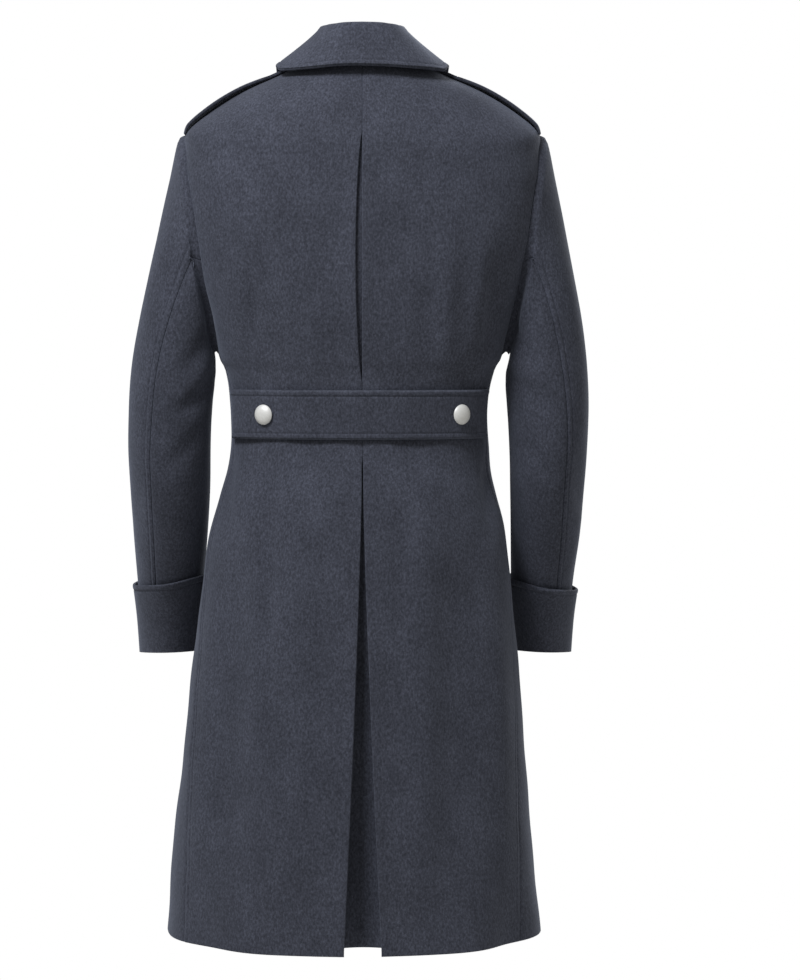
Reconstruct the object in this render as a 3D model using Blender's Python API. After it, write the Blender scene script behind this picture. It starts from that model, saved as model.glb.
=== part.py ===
"""Military greatcoat in blue-grey wool melton, hollow, as it hangs on a standing wearer.

Metres, +Z up. The front faces -Y, the back +Y, and +X is the wearer's left. The origin is on the
midline at the level of the neck seam. Every cloth piece is a wall on a grid of its outer points:
rows run down the piece and columns run round it towards the wearer's left.
"""
import math

import bpy
import numpy as np

CLOTH = 0.003
LINED = 0.004
SEAM = 0.0003
LAY = 0.0009
UNDERLAY_GAP = 0.0018
ARMHOLE_SEAM = 0.0016
SLEEVE_SEAM = 0.0006
BELT_GAP = 0.0014
BUTTON_SEAT = 0.0004
CUFF_LAY = 0.0013
STAND_INSET = 0.0010
STAND_LIFT = 0.0014

HEM_LENGTH = 1.10
HALF_BELT_TOP = -0.412
HALF_BELT_BOTTOM = -0.475
HALF_BELT_END_ANGLE = 1.5
UPPER_PLEAT_TOP = -0.095
UPPER_PLEAT_BOTTOM = -0.404
UPPER_PLEAT_GAP = 0.0085
UPPER_UNDERLAY_HALF = 0.034
SKIRT_PLEAT_TOP = -0.530
SKIRT_PLEAT_HALF = 0.0232
SKIRT_PLEAT_DEPTH = 0.034
SKIRT_UNDERLAY_HALF = 0.032
SKIRT_UNDERLAY_FLARE = 0.030
LAP_STEP_FROM = 0.016
LAP_STEP_TO = 0.002
BUTTON_DIAMETER = 0.0254
BELT_BUTTON_X = 0.1184
FRONT_BUTTON_X = 0.056
FRONT_BUTTON_LEVELS = (-0.205, -0.315, -0.425, -0.535)
STRAP_HALF_WIDTH = 0.025
STRAP_ARCH = 0.0036
COLLAR_ROLL = 0.0052
CUFF_FLARE = 0.0022

WOOL = (0.059, 0.064, 0.082)
WOOL_DARK = (0.046, 0.050, 0.064)
WOOL_SHADE = (0.034, 0.037, 0.047)
BUTTON_SILVER = (0.62, 0.60, 0.56)

TORSO_COLUMNS = ("side_z", "back_z", "front_z", "half_width", "back", "front",
                 "square", "sway", "back_edge", "front_edge", "lap")
TORSO_ROWS = np.array((
    (-0.004, 0.000, -0.060, 0.0720, 0.0700, 0.0760, 2.10, 0.0000, 90.0, 90.0, 0.012),
    (-0.021, -0.020, -0.085, 0.1040, 0.0820, 0.0890, 2.20, 0.0000, 90.0, 90.0, 0.034),
    (-0.042, -0.047, -0.111, 0.1500, 0.0960, 0.1020, 2.30, 0.0000, 90.0, 90.0, 0.052),
    (-0.067, -0.078, -0.138, 0.1900, 0.1070, 0.1130, 2.40, 0.0000, 90.0, 90.0, 0.062),
    (-0.092, -0.107, -0.160, 0.2200, 0.1150, 0.1200, 2.45, 0.0000, 90.0, 90.0, 0.068),
    (-0.115, -0.133, -0.181, 0.2235, 0.1180, 0.1250, 2.50, 0.0000, 82.3, 98.5, 0.070),
    (-0.152, -0.165, -0.206, 0.2280, 0.1210, 0.1295, 2.60, 0.0000, 76.6, 105.5, 0.072),
    (-0.192, -0.199, -0.232, 0.2270, 0.1235, 0.1325, 2.60, 0.0000, 73.5, 110.0, 0.073),
    (-0.233, -0.237, -0.258, 0.2205, 0.1245, 0.1340, 2.60, 0.0000, 73.0, 111.0, 0.073),
    (-0.274, -0.276, -0.288, 0.2075, 0.1248, 0.1345, 2.60, 0.0003, 75.0, 107.0, 0.073),
    (-0.320, -0.321, -0.327, 0.1920, 0.1225, 0.1330, 2.55, 0.0010, 79.0, 98.0, 0.073),
    (-0.374, -0.375, -0.376, 0.1770, 0.1160, 0.1265, 2.46, 0.0022, 84.0, 84.0, 0.073),
    (-0.386, -0.386, -0.386, 0.1705, 0.1135, 0.1240, 2.43, 0.0027, 82.5, 82.5, 0.073),
    (-0.398, -0.398, -0.398, 0.1670, 0.1115, 0.1225, 2.40, 0.0030, 81.0, 81.0, 0.073),
    (-0.410, -0.410, -0.410, 0.1645, 0.1100, 0.1210, 2.35, 0.0033, 79.5, 79.5, 0.073),
    (-0.427, -0.427, -0.427, 0.1625, 0.1080, 0.1190, 2.32, 0.0035, 79.0, 79.0, 0.073),
    (-0.448, -0.448, -0.448, 0.1615, 0.1072, 0.1180, 2.30, 0.0035, 79.0, 79.0, 0.073),
    (-0.480, -0.480, -0.480, 0.1622, 0.1095, 0.1190, 2.30, 0.0035, 79.0, 79.0, 0.073),
    (-0.515, -0.515, -0.515, 0.1655, 0.1180, 0.1240, 2.30, 0.0045, 79.5, 79.5, 0.074),
    (-0.550, -0.550, -0.550, 0.1745, 0.1290, 0.1290, 2.30, 0.0060, 80.0, 80.0, 0.074),
    (-0.600, -0.600, -0.600, 0.1870, 0.1385, 0.1335, 2.28, 0.0065, 80.0, 80.0, 0.075),
    (-0.680, -0.680, -0.680, 0.1965, 0.1445, 0.1380, 2.25, 0.0075, 79.0, 79.0, 0.076),
    (-0.780, -0.780, -0.780, 0.2075, 0.1515, 0.1440, 2.22, 0.0090, 76.5, 76.5, 0.077),
    (-0.880, -0.880, -0.880, 0.2160, 0.1580, 0.1500, 2.20, 0.0110, 73.5, 73.5, 0.078),
    (-0.990, -0.990, -0.990, 0.2265, 0.1640, 0.1555, 2.20, 0.0120, 71.0, 71.0, 0.079),
    (-1.100, -1.106, -1.103, 0.2355, 0.1700, 0.1600, 2.20, 0.0110, 69.0, 69.0, 0.080),
))
ARMHOLE_TOP_ROW = 4.0
ARMHOLE_BOTTOM_ROW = 11.0
HEM_ROW = 25.0
STRAP_INNER_ROW = 0.80
UNDERARM_ANGLE = 84.0

# Places of a body panel's rows in the table: close at the neck, the shoulder and the waist.
BODY_PLACES = np.array((0.0, 0.5, 1.0, 1.6, 2.3, 3.0, 3.5, 4.0, 4.25, 4.6, 5.0, 5.5, 6.0, 6.5, 7.0, 7.6, 8.2,
                        8.8, 9.4, 10.0, 10.4, 10.75, 11.0, 12.0, 13.0, 14.0, 15.0, 15.5, 16.0, 16.5, 17.0,
                        18.0, 19.0, 20.0, 21.0, 22.0, 23.0, 24.0, 25.0))

# Soft flutes of the skirt: where round the body, how wide, where they start and how deep at the hem.
FLUTE_COLUMNS = ("angle", "spread", "start_z", "depth")
FLUTES = np.array((
    (-63.0, 9.0, -0.58, -0.0075),
    (-44.0, 12.0, -0.66, 0.0050),
    (38.0, 13.0, -0.70, 0.0045),
    (58.0, 9.0, -0.62, -0.0050),
    (104.0, 11.0, -0.60, 0.0060),
    (127.0, 10.0, -0.68, -0.0060),
    (-108.0, 12.0, -0.60, 0.0060),
    (-132.0, 10.0, -0.70, -0.0055),
))

SLEEVE_COLUMNS = ("top_x", "top_z", "under_x", "under_z", "mid_y", "half_depth", "tilt", "back_seam",
                  "front_seam", "left_top", "left_under")
SLEEVE_ROWS = np.array((
    (0.2200, -0.092, 0.1770, -0.374, -0.010, 0.0780, 0.0, 100.0, 240.0, 0.0000, 0.0000),
    (0.2285, -0.097, 0.1830, -0.3730, -0.009, 0.0770, 0.0, 97.0, 239.0, 0.0000, 0.0000),
    (0.2348, -0.116, 0.1850, -0.376, -0.008, 0.0760, 0.0, 92.0, 238.0, 0.0000, 0.0002),
    (0.2430, -0.155, 0.1840, -0.380, -0.007, 0.0740, 0.0, 86.0, 236.0, 0.0000, 0.0010),
    (0.2543, -0.208, 0.1822, -0.386, -0.005, 0.0710, 0.0, 80.0, 234.0, 0.0000, 0.0025),
    (0.2657, -0.268, 0.1805, -0.394, -0.002, 0.0680, 0.0, 75.0, 232.0, 0.0020, 0.0040),
    (0.2760, -0.330, 0.1802, -0.408, 0.000, 0.0655, 0.0, 71.0, 230.0, 0.0055, 0.0055),
    (0.2825, -0.385, 0.1820, -0.432, 0.001, 0.0640, 0.0, 68.0, 228.0, 0.0076, 0.0062),
    (0.2853, -0.440, 0.1842, -0.462, 0.000, 0.0630, 3.0, 66.0, 226.0, 0.0085, 0.0062),
    (0.2835, -0.492, 0.1858, -0.500, -0.006, 0.0620, 6.0, 65.0, 225.0, 0.0120, 0.0062),
    (0.2798, -0.545, 0.1865, -0.543, -0.021, 0.0615, 8.0, 65.0, 225.0, 0.0139, 0.0068),
    (0.2758, -0.600, 0.1880, -0.596, -0.042, 0.0608, 6.0, 65.0, 225.0, 0.0146, 0.0085),
    (0.2700, -0.655, 0.1900, -0.651, -0.066, 0.0600, 2.0, 65.0, 225.0, 0.0172, 0.0110),
    (0.2665, -0.706, 0.1920, -0.702, -0.089, 0.0590, -2.0, 65.0, 225.0, 0.0182, 0.0120),
    (0.2650, -0.755, 0.1935, -0.752, -0.109, 0.0585, -4.0, 65.0, 225.0, 0.0184, 0.0130),
))
SLEEVE_RADIUS = 0.055
RIM_TURN_ROWS = 1.6
SEAM_WIDENING = 2.0
SEAM_WIDENING_ROWS = 2.5
SLEEVE_BLEND_ROWS = 3.0
SLEEVE_END_ROW = 14.0
CUFF_TOP_ROW = 12.16
CUFF_DROP_ROWS = 0.24

# Places of a sleeve's rows in its table.
SLEEVE_PLACES = np.array((0.0, 0.5, 1.0, 1.6, 2.3, 3.0, 3.8, 4.6, 5.4, 6.2, 7.0, 7.8, 8.6, 9.4, 10.2, 11.0,
                          12.0, 13.0, 14.0))

# Collar: where round the neck, the crest of the fold and the lower edge of the leaf.
COLLAR_COLUMNS = ("angle", "crest_x", "crest_y", "crest_z", "leaf_x", "leaf_y", "leaf_z")
COLLAR_ROWS = np.array((
    (0.0, 0.000, 0.0690, 0.0420, 0.000, 0.0945, -0.0130),
    (20.0, 0.0210, 0.0665, 0.0415, 0.035, 0.0925, -0.0135),
    (40.0, 0.0390, 0.0545, 0.0400, 0.069, 0.0820, -0.0155),
    (60.0, 0.0505, 0.0340, 0.0385, 0.101, 0.0565, -0.0170),
    (80.0, 0.0550, 0.0110, 0.0350, 0.1110, 0.0250, -0.0085),
    (100.0, 0.0555, -0.0120, 0.0285, 0.1120, -0.0120, -0.0085),
    (120.0, 0.0525, -0.0370, 0.0170, 0.1060, -0.0520, -0.0330),
    (140.0, 0.0430, -0.0600, 0.0000, 0.0980, -0.0870, -0.0640),
    (160.0, 0.0250, -0.0780, -0.0180, 0.0800, -0.1080, -0.0980),
    (176.0, 0.0060, -0.0850, -0.0270, 0.0560, -0.1220, -0.1290),
))
COLLAR_ANGLES = np.array((0.0, 14.0, 28.0, 42.0, 56.0, 70.0, 83.0, 96.0, 109.0, 122.0, 135.0, 148.0, 160.0,
                          169.0, 176.0))
COLLAR_PLACES = np.array((0.0, 1.0, 2.0, 2.6, 3.0, 3.5, 4.0, 5.0, 6.0))

# A button from its shank over its flat back and rolled edge to its dome: share of its radius, and height.
BUTTON_COLUMNS = ("radius_share", "height")
BUTTON_PROFILE = np.array((
    (0.236, 0.0),
    (0.90, 0.0012),
    (1.0, 0.0028),
    (0.86, 0.0052),
    (0.45, 0.0078),
))
BUTTON_TURNS = 12


def clear_scene():
    for item in list(bpy.data.objects):
        bpy.data.objects.remove(item, do_unlink=True)


def smooth_step(value):
    part = np.clip(value, 0.0, 1.0)
    return part * part * (3.0 - 2.0 * part)


def unit(vectors):
    return vectors / np.linalg.norm(vectors, axis=-1, keepdims=True)


def along(rows, place):
    """Values of a table at a place between its rows: a cubic that is level at each peak and hollow."""
    place = np.clip(np.asarray(place, dtype=float), 0.0, len(rows) - 1.0)
    low = np.minimum(place.astype(int), len(rows) - 2)
    part = (place - low)[..., None]
    before = rows[np.maximum(low - 1, 0)]
    start = rows[low]
    end = rows[low + 1]
    after = rows[np.minimum(low + 2, len(rows) - 1)]
    leave = np.where((start - before) * (end - start) > 0.0, (end - before) / 2.0, 0.0)
    arrive = np.where((end - start) * (after - end) > 0.0, (after - start) / 2.0, 0.0)
    return (start * (1 + 2 * part) * (1 - part) ** 2 + leave * part * (1 - part) ** 2
            + end * part ** 2 * (3 - 2 * part) + arrive * part ** 2 * (part - 1))


def torso_value(row, column):
    return along(TORSO_ROWS, row)[..., TORSO_COLUMNS.index(column)]


def torso_row_at(level, column="back_z"):
    """The row whose back, or front, lies at a level, in metres."""
    places = np.linspace(0.0, HEM_ROW, 501)
    return np.interp(-np.asarray(level, dtype=float), -torso_value(places, column), places)


def flute_depth(angle, level):
    """How far the skirt's flutes move the cloth out: a bell across each, growing to the hem."""
    total = np.zeros(np.broadcast(angle, level).shape)
    for centre, spread, start, depth in FLUTES:
        growth = np.clip((start - level) / (start + HEM_LENGTH), 0.0, 1.0) ** 1.4
        total += depth * growth * np.exp(-((angle - centre) / spread) ** 2)
    return total


def torso(row, angle):
    """Outer cloth of the body: a rounded box section for each row, at an angle from the centre back."""
    row, angle = np.broadcast_arrays(np.asarray(row, dtype=float), np.asarray(angle, dtype=float))
    values = along(TORSO_ROWS, row)
    side_z, back_z, front_z, half_width, back, front, square, sway = np.moveaxis(values[..., :8], -1, 0)
    across = np.sin(np.radians(angle))
    behind = np.cos(np.radians(angle))
    depth = np.where(behind >= 0.0, back, front)
    end_z = np.where(behind >= 0.0, back_z, front_z)
    reach = ((np.abs(across) / half_width) ** square + (np.abs(behind) / depth) ** square) ** (-1.0 / square)
    level = side_z + (end_z - side_z) * (reach * behind / depth) ** 2
    turned = np.where(angle > 180.0, angle - 360.0, np.where(angle < -180.0, angle + 360.0, angle))
    reach = reach + flute_depth(turned, level)
    return np.stack((sway + reach * across, reach * behind, level), axis=-1)


def torso_out(row, angle):
    """Outward unit vectors of the body's cloth, from small steps along it."""
    down = torso(row + 0.01, angle) - torso(row - 0.01, angle)
    round_body = torso(row, angle + 0.25) - torso(row, angle - 0.25)
    return unit(np.cross(round_body, down))


def angle_at(row, across, front=False):
    """The angle at which a row reaches a distance from the midline, at the back or at the front."""
    half_width = torso_value(row, "half_width")
    depth = torso_value(row, "front" if front else "back")
    square = torso_value(row, "square")
    share = np.clip(np.abs(across) / half_width, 0.0, 0.999)
    behind = depth * (1.0 - share ** square) ** (1.0 / square)
    turn = np.degrees(np.arctan2(across, behind))
    return 180.0 - turn if front else turn


def grid_out(points, closed=False):
    """Outward unit vectors of a grid, from the steps round it and down it."""
    down = np.gradient(points, axis=0)
    if closed:
        aside = np.roll(points, -1, axis=1) - np.roll(points, 1, axis=1)
    else:
        aside = np.gradient(points, axis=1)
    return unit(np.cross(aside, down))


def wall_mesh(name, outer, inner, closed=False):
    """A closed mesh between two grids: the outer face, the inner face and a rim along each edge."""
    rows, columns = outer.shape[:2]
    outside = np.arange(rows * columns).reshape(rows, columns)
    if closed:
        outside = np.hstack((outside, outside[:, :1]))
    inside = outside + rows * columns
    faces = []

    def add(a, b, c, d):
        faces.append(np.stack((a, b, c, d), axis=-1).reshape(-1, 4))

    add(outside[:-1, :-1], outside[:-1, 1:], outside[1:, 1:], outside[1:, :-1])
    add(inside[:-1, :-1], inside[1:, :-1], inside[1:, 1:], inside[:-1, 1:])
    add(outside[0, :-1], inside[0, :-1], inside[0, 1:], outside[0, 1:])
    add(outside[-1, :-1], outside[-1, 1:], inside[-1, 1:], inside[-1, :-1])
    if not closed:
        add(outside[:-1, 0], outside[1:, 0], inside[1:, 0], inside[:-1, 0])
        add(outside[:-1, -1], inside[:-1, -1], inside[1:, -1], outside[1:, -1])
    mesh = bpy.data.meshes.new(name)
    points = np.concatenate((outer.reshape(-1, 3), inner.reshape(-1, 3)))
    mesh.from_pydata(points.tolist(), [], np.concatenate(faces).tolist())
    mesh.update()
    return mesh


def cloth_material(name, colour, roughness=0.95, metallic=0.0):
    made = bpy.data.materials.new(name)
    made.use_nodes = True
    shader = made.node_tree.nodes["Principled BSDF"]
    shader.inputs["Base Color"].default_value = (*colour, 1.0)
    shader.inputs["Roughness"].default_value = roughness
    shader.inputs["Metallic"].default_value = metallic
    return made


def place(name, mesh, colour, roughness=0.95, metallic=0.0):
    piece = bpy.data.objects.new(name, mesh)
    bpy.context.scene.collection.objects.link(piece)
    mesh.materials.append(cloth_material(name + "_finish", colour, roughness, metallic))
    mesh.shade_smooth()
    mesh.set_sharp_from_angle(angle=math.radians(50.0))
    return piece


def cloth_piece(name, outer, thickness=CLOTH, colour=WOOL, closed=False, out=None):
    """A wall whose inner points lie one thickness in from its outer points."""
    if out is None:
        out = grid_out(outer, closed)
    return place(name, wall_mesh(name, outer, outer - out * thickness, closed), colour)


def mirrored(points):
    """The other side's grid: X changes sign, and the columns turn round to keep the face outside."""
    return (points * np.array((-1.0, 1.0, 1.0)))[:, ::-1]


def back_opening(level):
    """How far each back stands from the midline: a seam, a bowed slit above, a spreading pleat below."""
    slit = np.clip((UPPER_PLEAT_TOP - level) / (UPPER_PLEAT_TOP - UPPER_PLEAT_BOTTOM), 0.0, 1.0)
    bow = UPPER_PLEAT_GAP * np.sin(math.pi * slit) ** 0.6
    fall = np.clip((SKIRT_PLEAT_TOP - level) / (SKIRT_PLEAT_TOP + HEM_LENGTH), 0.0, 1.0)
    spread = SKIRT_PLEAT_HALF * fall ** 1.25
    return bow, spread


def make_backs():
    """Two full-length backs that meet at the centre seam and part at the pleats."""
    rows = BODY_PLACES
    level = torso_value(rows, "back_z")
    bow, spread = back_opening(level)
    share = np.linspace(0.0, 1.0, 11)[None, :]
    for side, name in ((1, "back_left"), (-1, "back_right")):
        opening = SEAM / 2 + spread + (bow if side == 1 else 0.0)
        start = angle_at(rows, opening - side * torso_value(rows, "sway"))
        seam_turn = np.degrees(SEAM / 2 / torso_value(rows, "half_width"))
        end = torso_value(rows, "back_edge") - seam_turn
        angle = start[:, None] + (end - start)[:, None] * share
        if side == -1:
            angle = -angle[:, ::-1]
        cloth_piece(name, torso(rows[:, None], angle), out=torso_out(rows[:, None], angle))


def make_fronts():
    """Two double-breasted fronts: the wearer's left one laps over the right one."""
    rows = BODY_PLACES
    seam_turn = np.degrees(SEAM / 2 / torso_value(rows, "half_width"))
    start = torso_value(rows, "front_edge") + seam_turn
    lap = torso_value(rows, "lap")
    end = 360.0 - angle_at(rows, lap, front=True)
    rise = np.maximum(angle_at(rows, lap + LAP_STEP_FROM, front=True), start + 8.0)
    flat = np.maximum(angle_at(rows, lap + LAP_STEP_TO, front=True), rise + 2.0)
    share = np.linspace(0.0, 1.0, 7)[None, :]
    angle = np.hstack((start[:, None] + (rise - start)[:, None] * share,
                       flat[:, None] + (end - flat)[:, None] * share))
    over = torso(rows[:, None], angle)
    out = torso_out(rows[:, None], angle)
    lifted = np.where(np.arange(14) > 6, CLOTH + LAY, 0.0)[None, :, None]
    cloth_piece("front_left", over + out * lifted, out=out)
    share = np.linspace(0.0, 1.0, 13)[None, :]
    angle = start[:, None] + (end - start)[:, None] * share
    angle = -angle[:, ::-1]
    cloth_piece("front_right", torso(rows[:, None], angle), out=torso_out(rows[:, None], angle))


def make_underlays():
    """Pleat underlays behind the backs: a flat strip above the belt, a deep gusset in the skirt."""
    rows = torso_row_at(np.linspace(UPPER_PLEAT_TOP + 0.012, UPPER_PLEAT_BOTTOM - 0.006, 9))
    across = np.linspace(-UPPER_UNDERLAY_HALF, UPPER_UNDERLAY_HALF, 6)[None, :]
    angle = angle_at(rows[:, None], across - torso_value(rows, "sway")[:, None])
    out = torso_out(rows[:, None], angle)
    outer = torso(rows[:, None], angle) - out * (CLOTH + LAY)
    cloth_piece("upper_pleat_underlay", outer, colour=WOOL_SHADE, out=out)
    levels = np.concatenate((np.linspace(SKIRT_PLEAT_TOP + 0.045, -0.68, 5), np.linspace(-0.74, -1.0985, 9)))
    rows = torso_row_at(levels)
    fall = np.clip((SKIRT_PLEAT_TOP - levels) / (SKIRT_PLEAT_TOP + HEM_LENGTH), 0.0, 1.0)[:, None]
    half = SKIRT_UNDERLAY_HALF + SKIRT_UNDERLAY_FLARE * fall
    across = np.linspace(-1.0, 1.0, 11)[None, :] * half - torso_value(rows, "sway")[:, None]
    angle = angle_at(rows[:, None], across)
    out = torso_out(rows[:, None], angle)
    well = np.cos(np.linspace(-1.0, 1.0, 11) * math.pi / 2)[None, :] ** 1.5
    depth = CLOTH + UNDERLAY_GAP + SKIRT_PLEAT_DEPTH * fall ** 1.2 * well
    outer = torso(rows[:, None], angle) - out * depth[..., None]
    cloth_piece("skirt_pleat_underlay", outer, colour=WOOL_SHADE)


def make_half_belt():
    """A half belt of two layers across the back waist, from side seam to side seam."""
    rows = torso_row_at(np.linspace(HALF_BELT_TOP, HALF_BELT_BOTTOM, 4))
    reach = float(torso_value(16.0, "back_edge")) - HALF_BELT_END_ANGLE
    angle = np.linspace(-reach, reach, 27)[None, :]
    out = torso_out(rows[:, None], angle)
    outer = torso(rows[:, None], angle) + out * (BELT_GAP + LINED)
    cloth_piece("half_belt", outer, LINED, WOOL_DARK, out=out)


def button_mesh(name, centre, axis):
    """A domed metal button turned about its axis: shank, flat back, rolled edge and dome."""
    profile = BUTTON_PROFILE * np.array((BUTTON_DIAMETER / 2, 1.0))
    turns = np.arange(BUTTON_TURNS) / BUTTON_TURNS * 2 * math.pi
    upward = np.array((0.0, 0.0, 1.0))
    right = unit(np.cross(upward, axis))
    top = np.cross(axis, right)
    ring = np.cos(turns)[:, None] * right + np.sin(turns)[:, None] * top
    points = centre + profile[:, 0, None, None] * ring[None] + profile[:, 1, None, None] * axis
    faces = []
    for step in range(len(profile) - 1):
        for turn in range(BUTTON_TURNS):
            near = step * BUTTON_TURNS
            far = near + BUTTON_TURNS
            following = (turn + 1) % BUTTON_TURNS
            faces.append((near + turn, near + following, far + following, far + turn))
    faces.append(tuple(range(BUTTON_TURNS - 1, -1, -1)))
    faces.append(tuple(range((len(profile) - 1) * BUTTON_TURNS, len(profile) * BUTTON_TURNS)))
    mesh = bpy.data.meshes.new(name)
    mesh.from_pydata(points.reshape(-1, 3).tolist(), [], faces)
    mesh.update()
    return mesh


def make_buttons():
    """Two buttons on the half belt and two rows of four on the over front."""
    row = float(torso_row_at((HALF_BELT_TOP + HALF_BELT_BOTTOM) / 2))
    for side, name in ((1, "belt_button_left"), (-1, "belt_button_right")):
        angle = float(angle_at(row, side * BELT_BUTTON_X - torso_value(row, "sway")))
        axis = torso_out(row, angle)
        seat = torso(row, angle) + axis * (BELT_GAP + LINED + BUTTON_SEAT)
        place(name, button_mesh(name, seat, axis), BUTTON_SILVER, 0.35, 0.9)
    for number, level in enumerate(FRONT_BUTTON_LEVELS):
        row = float(torso_row_at(level, "front_z"))
        for side, word in ((1, "left"), (-1, "right")):
            angle = float(angle_at(row, side * FRONT_BUTTON_X - torso_value(row, "sway"), front=True))
            axis = torso_out(row, angle)
            seat = torso(row, angle) + axis * (CLOTH + LAY + BUTTON_SEAT)
            name = f"front_button_{word}_{number + 1}"
            place(name, button_mesh(name, seat, axis), BUTTON_SILVER, 0.35, 0.9)


def armhole(turn):
    """Outer points of the armhole's edge and the way across it, at a turn round the sleeve.

    Turn 0 is the shoulder tip, 90 the back, 180 the underarm and 270 the front.
    """
    steps = np.linspace(ARMHOLE_TOP_ROW, ARMHOLE_BOTTOM_ROW, 141)
    back_angle = torso_value(steps, "back_edge")
    front_angle = torso_value(steps, "front_edge")
    back = torso(steps, back_angle)
    front = torso(steps, front_angle)
    back_way = unit(torso(steps, back_angle + 0.5) - torso(steps, back_angle - 0.5))
    front_way = unit(torso(steps, front_angle - 0.5) - torso(steps, front_angle + 0.5))
    shoulder_way = unit(torso(ARMHOLE_TOP_ROW, 90.0) - torso(ARMHOLE_TOP_ROW - 0.1, 90.0))
    under_way = unit(torso(ARMHOLE_BOTTOM_ROW - 0.1, UNDERARM_ANGLE)
                     - torso(ARMHOLE_BOTTOM_ROW + 0.1, UNDERARM_ANGLE))
    near_top = smooth_step((steps - ARMHOLE_TOP_ROW) / 1.0)[:, None]
    near_under = smooth_step((ARMHOLE_BOTTOM_ROW - steps) / 1.2)[:, None]
    loop = np.concatenate((back, front[-2::-1]))
    way = []
    for edge_way in (back_way, front_way):
        mixed = shoulder_way * (1 - near_top) + edge_way * near_top
        way.append(unit(under_way * (1 - near_under) + mixed * near_under))
    way = np.concatenate((way[0], way[1][-2::-1]))
    top, under = loop[0], loop[140]
    middle = (top + under) / 2
    axis = (top - under) / 2
    length = np.linalg.norm(axis)
    forward = (loop - middle) @ (axis / length) / length
    half_depth = SLEEVE_ROWS[0, SLEEVE_COLUMNS.index("half_depth")]
    sideways = (loop[:, 1] - SLEEVE_ROWS[0, SLEEVE_COLUMNS.index("mid_y")]) / half_depth
    turns = np.degrees(np.arctan2(sideways, forward))[:-1]
    points = np.stack([np.interp(turn, turns, loop[:-1, number], period=360.0) for number in range(3)], -1)
    ways = np.stack([np.interp(turn, turns, way[:-1, number], period=360.0) for number in range(3)], -1)
    return points, unit(ways)


def sleeve(row, turn):
    """Outer cloth of the left sleeve: an oval through a top and an under point, out of the armhole."""
    row, turn = np.broadcast_arrays(np.asarray(row, dtype=float), np.asarray(turn, dtype=float))
    values = np.moveaxis(along(SLEEVE_ROWS, row), -1, 0)
    top_x, top_z, under_x, under_z, mid_y, half_depth, tilt = values[:7]
    forward = np.cos(np.radians(turn))
    behind = np.sin(np.radians(turn)) * half_depth
    hang = np.radians(tilt)
    oval = np.stack(((top_x + under_x) / 2 + (top_x - under_x) / 2 * forward,
                     mid_y + behind * np.cos(hang),
                     (top_z + under_z) / 2 + (top_z - under_z) / 2 * forward - behind * np.sin(hang)), -1)
    edge, way = armhole(turn)
    leave = edge + way * ARMHOLE_SEAM
    first = SLEEVE_ROWS[0]
    first_middle = np.array(((first[0] + first[2]) / 2, first[4], (first[1] + first[3]) / 2))
    first_oval = first_middle + np.stack(((first[0] - first[2]) / 2 * forward, first[5]
                                          * np.sin(np.radians(turn)), (first[1] - first[3]) / 2 * forward), -1)
    fade = (1.0 - smooth_step(row / SLEEVE_BLEND_ROWS))[..., None]
    return oval + (leave - first_oval) * fade


def spread_sleeve(points, row, turn):
    """The left arm hangs further out than the right one, its outer side more than its under side."""
    left_top, left_under = np.moveaxis(along(SLEEVE_ROWS, row)[..., -2:], -1, 0)
    moved = points.copy()
    moved[..., 0] += left_under + (left_top - left_under) * (0.5 + 0.5 * np.cos(np.radians(turn)))
    return moved


def sleeve_out(row, turn):
    """Outward unit vectors of the left sleeve's cloth, from small steps along it."""
    down = sleeve(row + 0.02, turn) - sleeve(np.maximum(row - 0.02, 0.0), turn)
    round_arm = sleeve(row, turn - 1.0) - sleeve(row, turn + 1.0)
    return unit(np.cross(round_arm, down))


def sleeve_wall(row, turn):
    """Outer and inner points of a sleeve piece; the armhole's edge stays on its own side of the seam."""
    points = sleeve(row, turn)
    inward = -sleeve_out(row, turn)
    way = armhole(turn)[1]
    facing = np.sum(inward * way, axis=-1, keepdims=True)
    near = 1.0 - smooth_step(row / RIM_TURN_ROWS)[..., None]
    inward = unit(inward - way * np.minimum(facing, 0.0) * near)
    return points, points + inward * CLOTH


def make_sleeves():
    """Two-piece sleeves: a top sleeve and an under sleeve, joined at the elbow and front seams."""
    rows = SLEEVE_PLACES
    values = along(SLEEVE_ROWS, rows)
    back_seam = values[:, SLEEVE_COLUMNS.index("back_seam")]
    front_seam = values[:, SLEEVE_COLUMNS.index("front_seam")]
    widening = 1.0 + SEAM_WIDENING * (1.0 - smooth_step(rows / SEAM_WIDENING_ROWS))
    gap = math.degrees(SLEEVE_SEAM / 2 / SLEEVE_RADIUS) * widening
    pieces = (("under_sleeve", back_seam + gap, front_seam - gap, 11, WOOL_DARK),
              ("top_sleeve", front_seam + gap, back_seam + 360.0 - gap, 13, WOOL))
    for word, start, end, columns, colour in pieces:
        share = np.linspace(1.0, 0.0, columns)[None, :]
        turn = start[:, None] + (end - start)[:, None] * share
        points, inner = sleeve_wall(rows[:, None], turn)
        spread = [spread_sleeve(face, rows[:, None], turn) for face in (points, inner)]
        mesh = wall_mesh(word + "_left", *spread)
        place(word + "_left", mesh, colour)
        mesh = wall_mesh(word + "_right", mirrored(points), mirrored(inner))
        place(word + "_right", mesh, colour)


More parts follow.
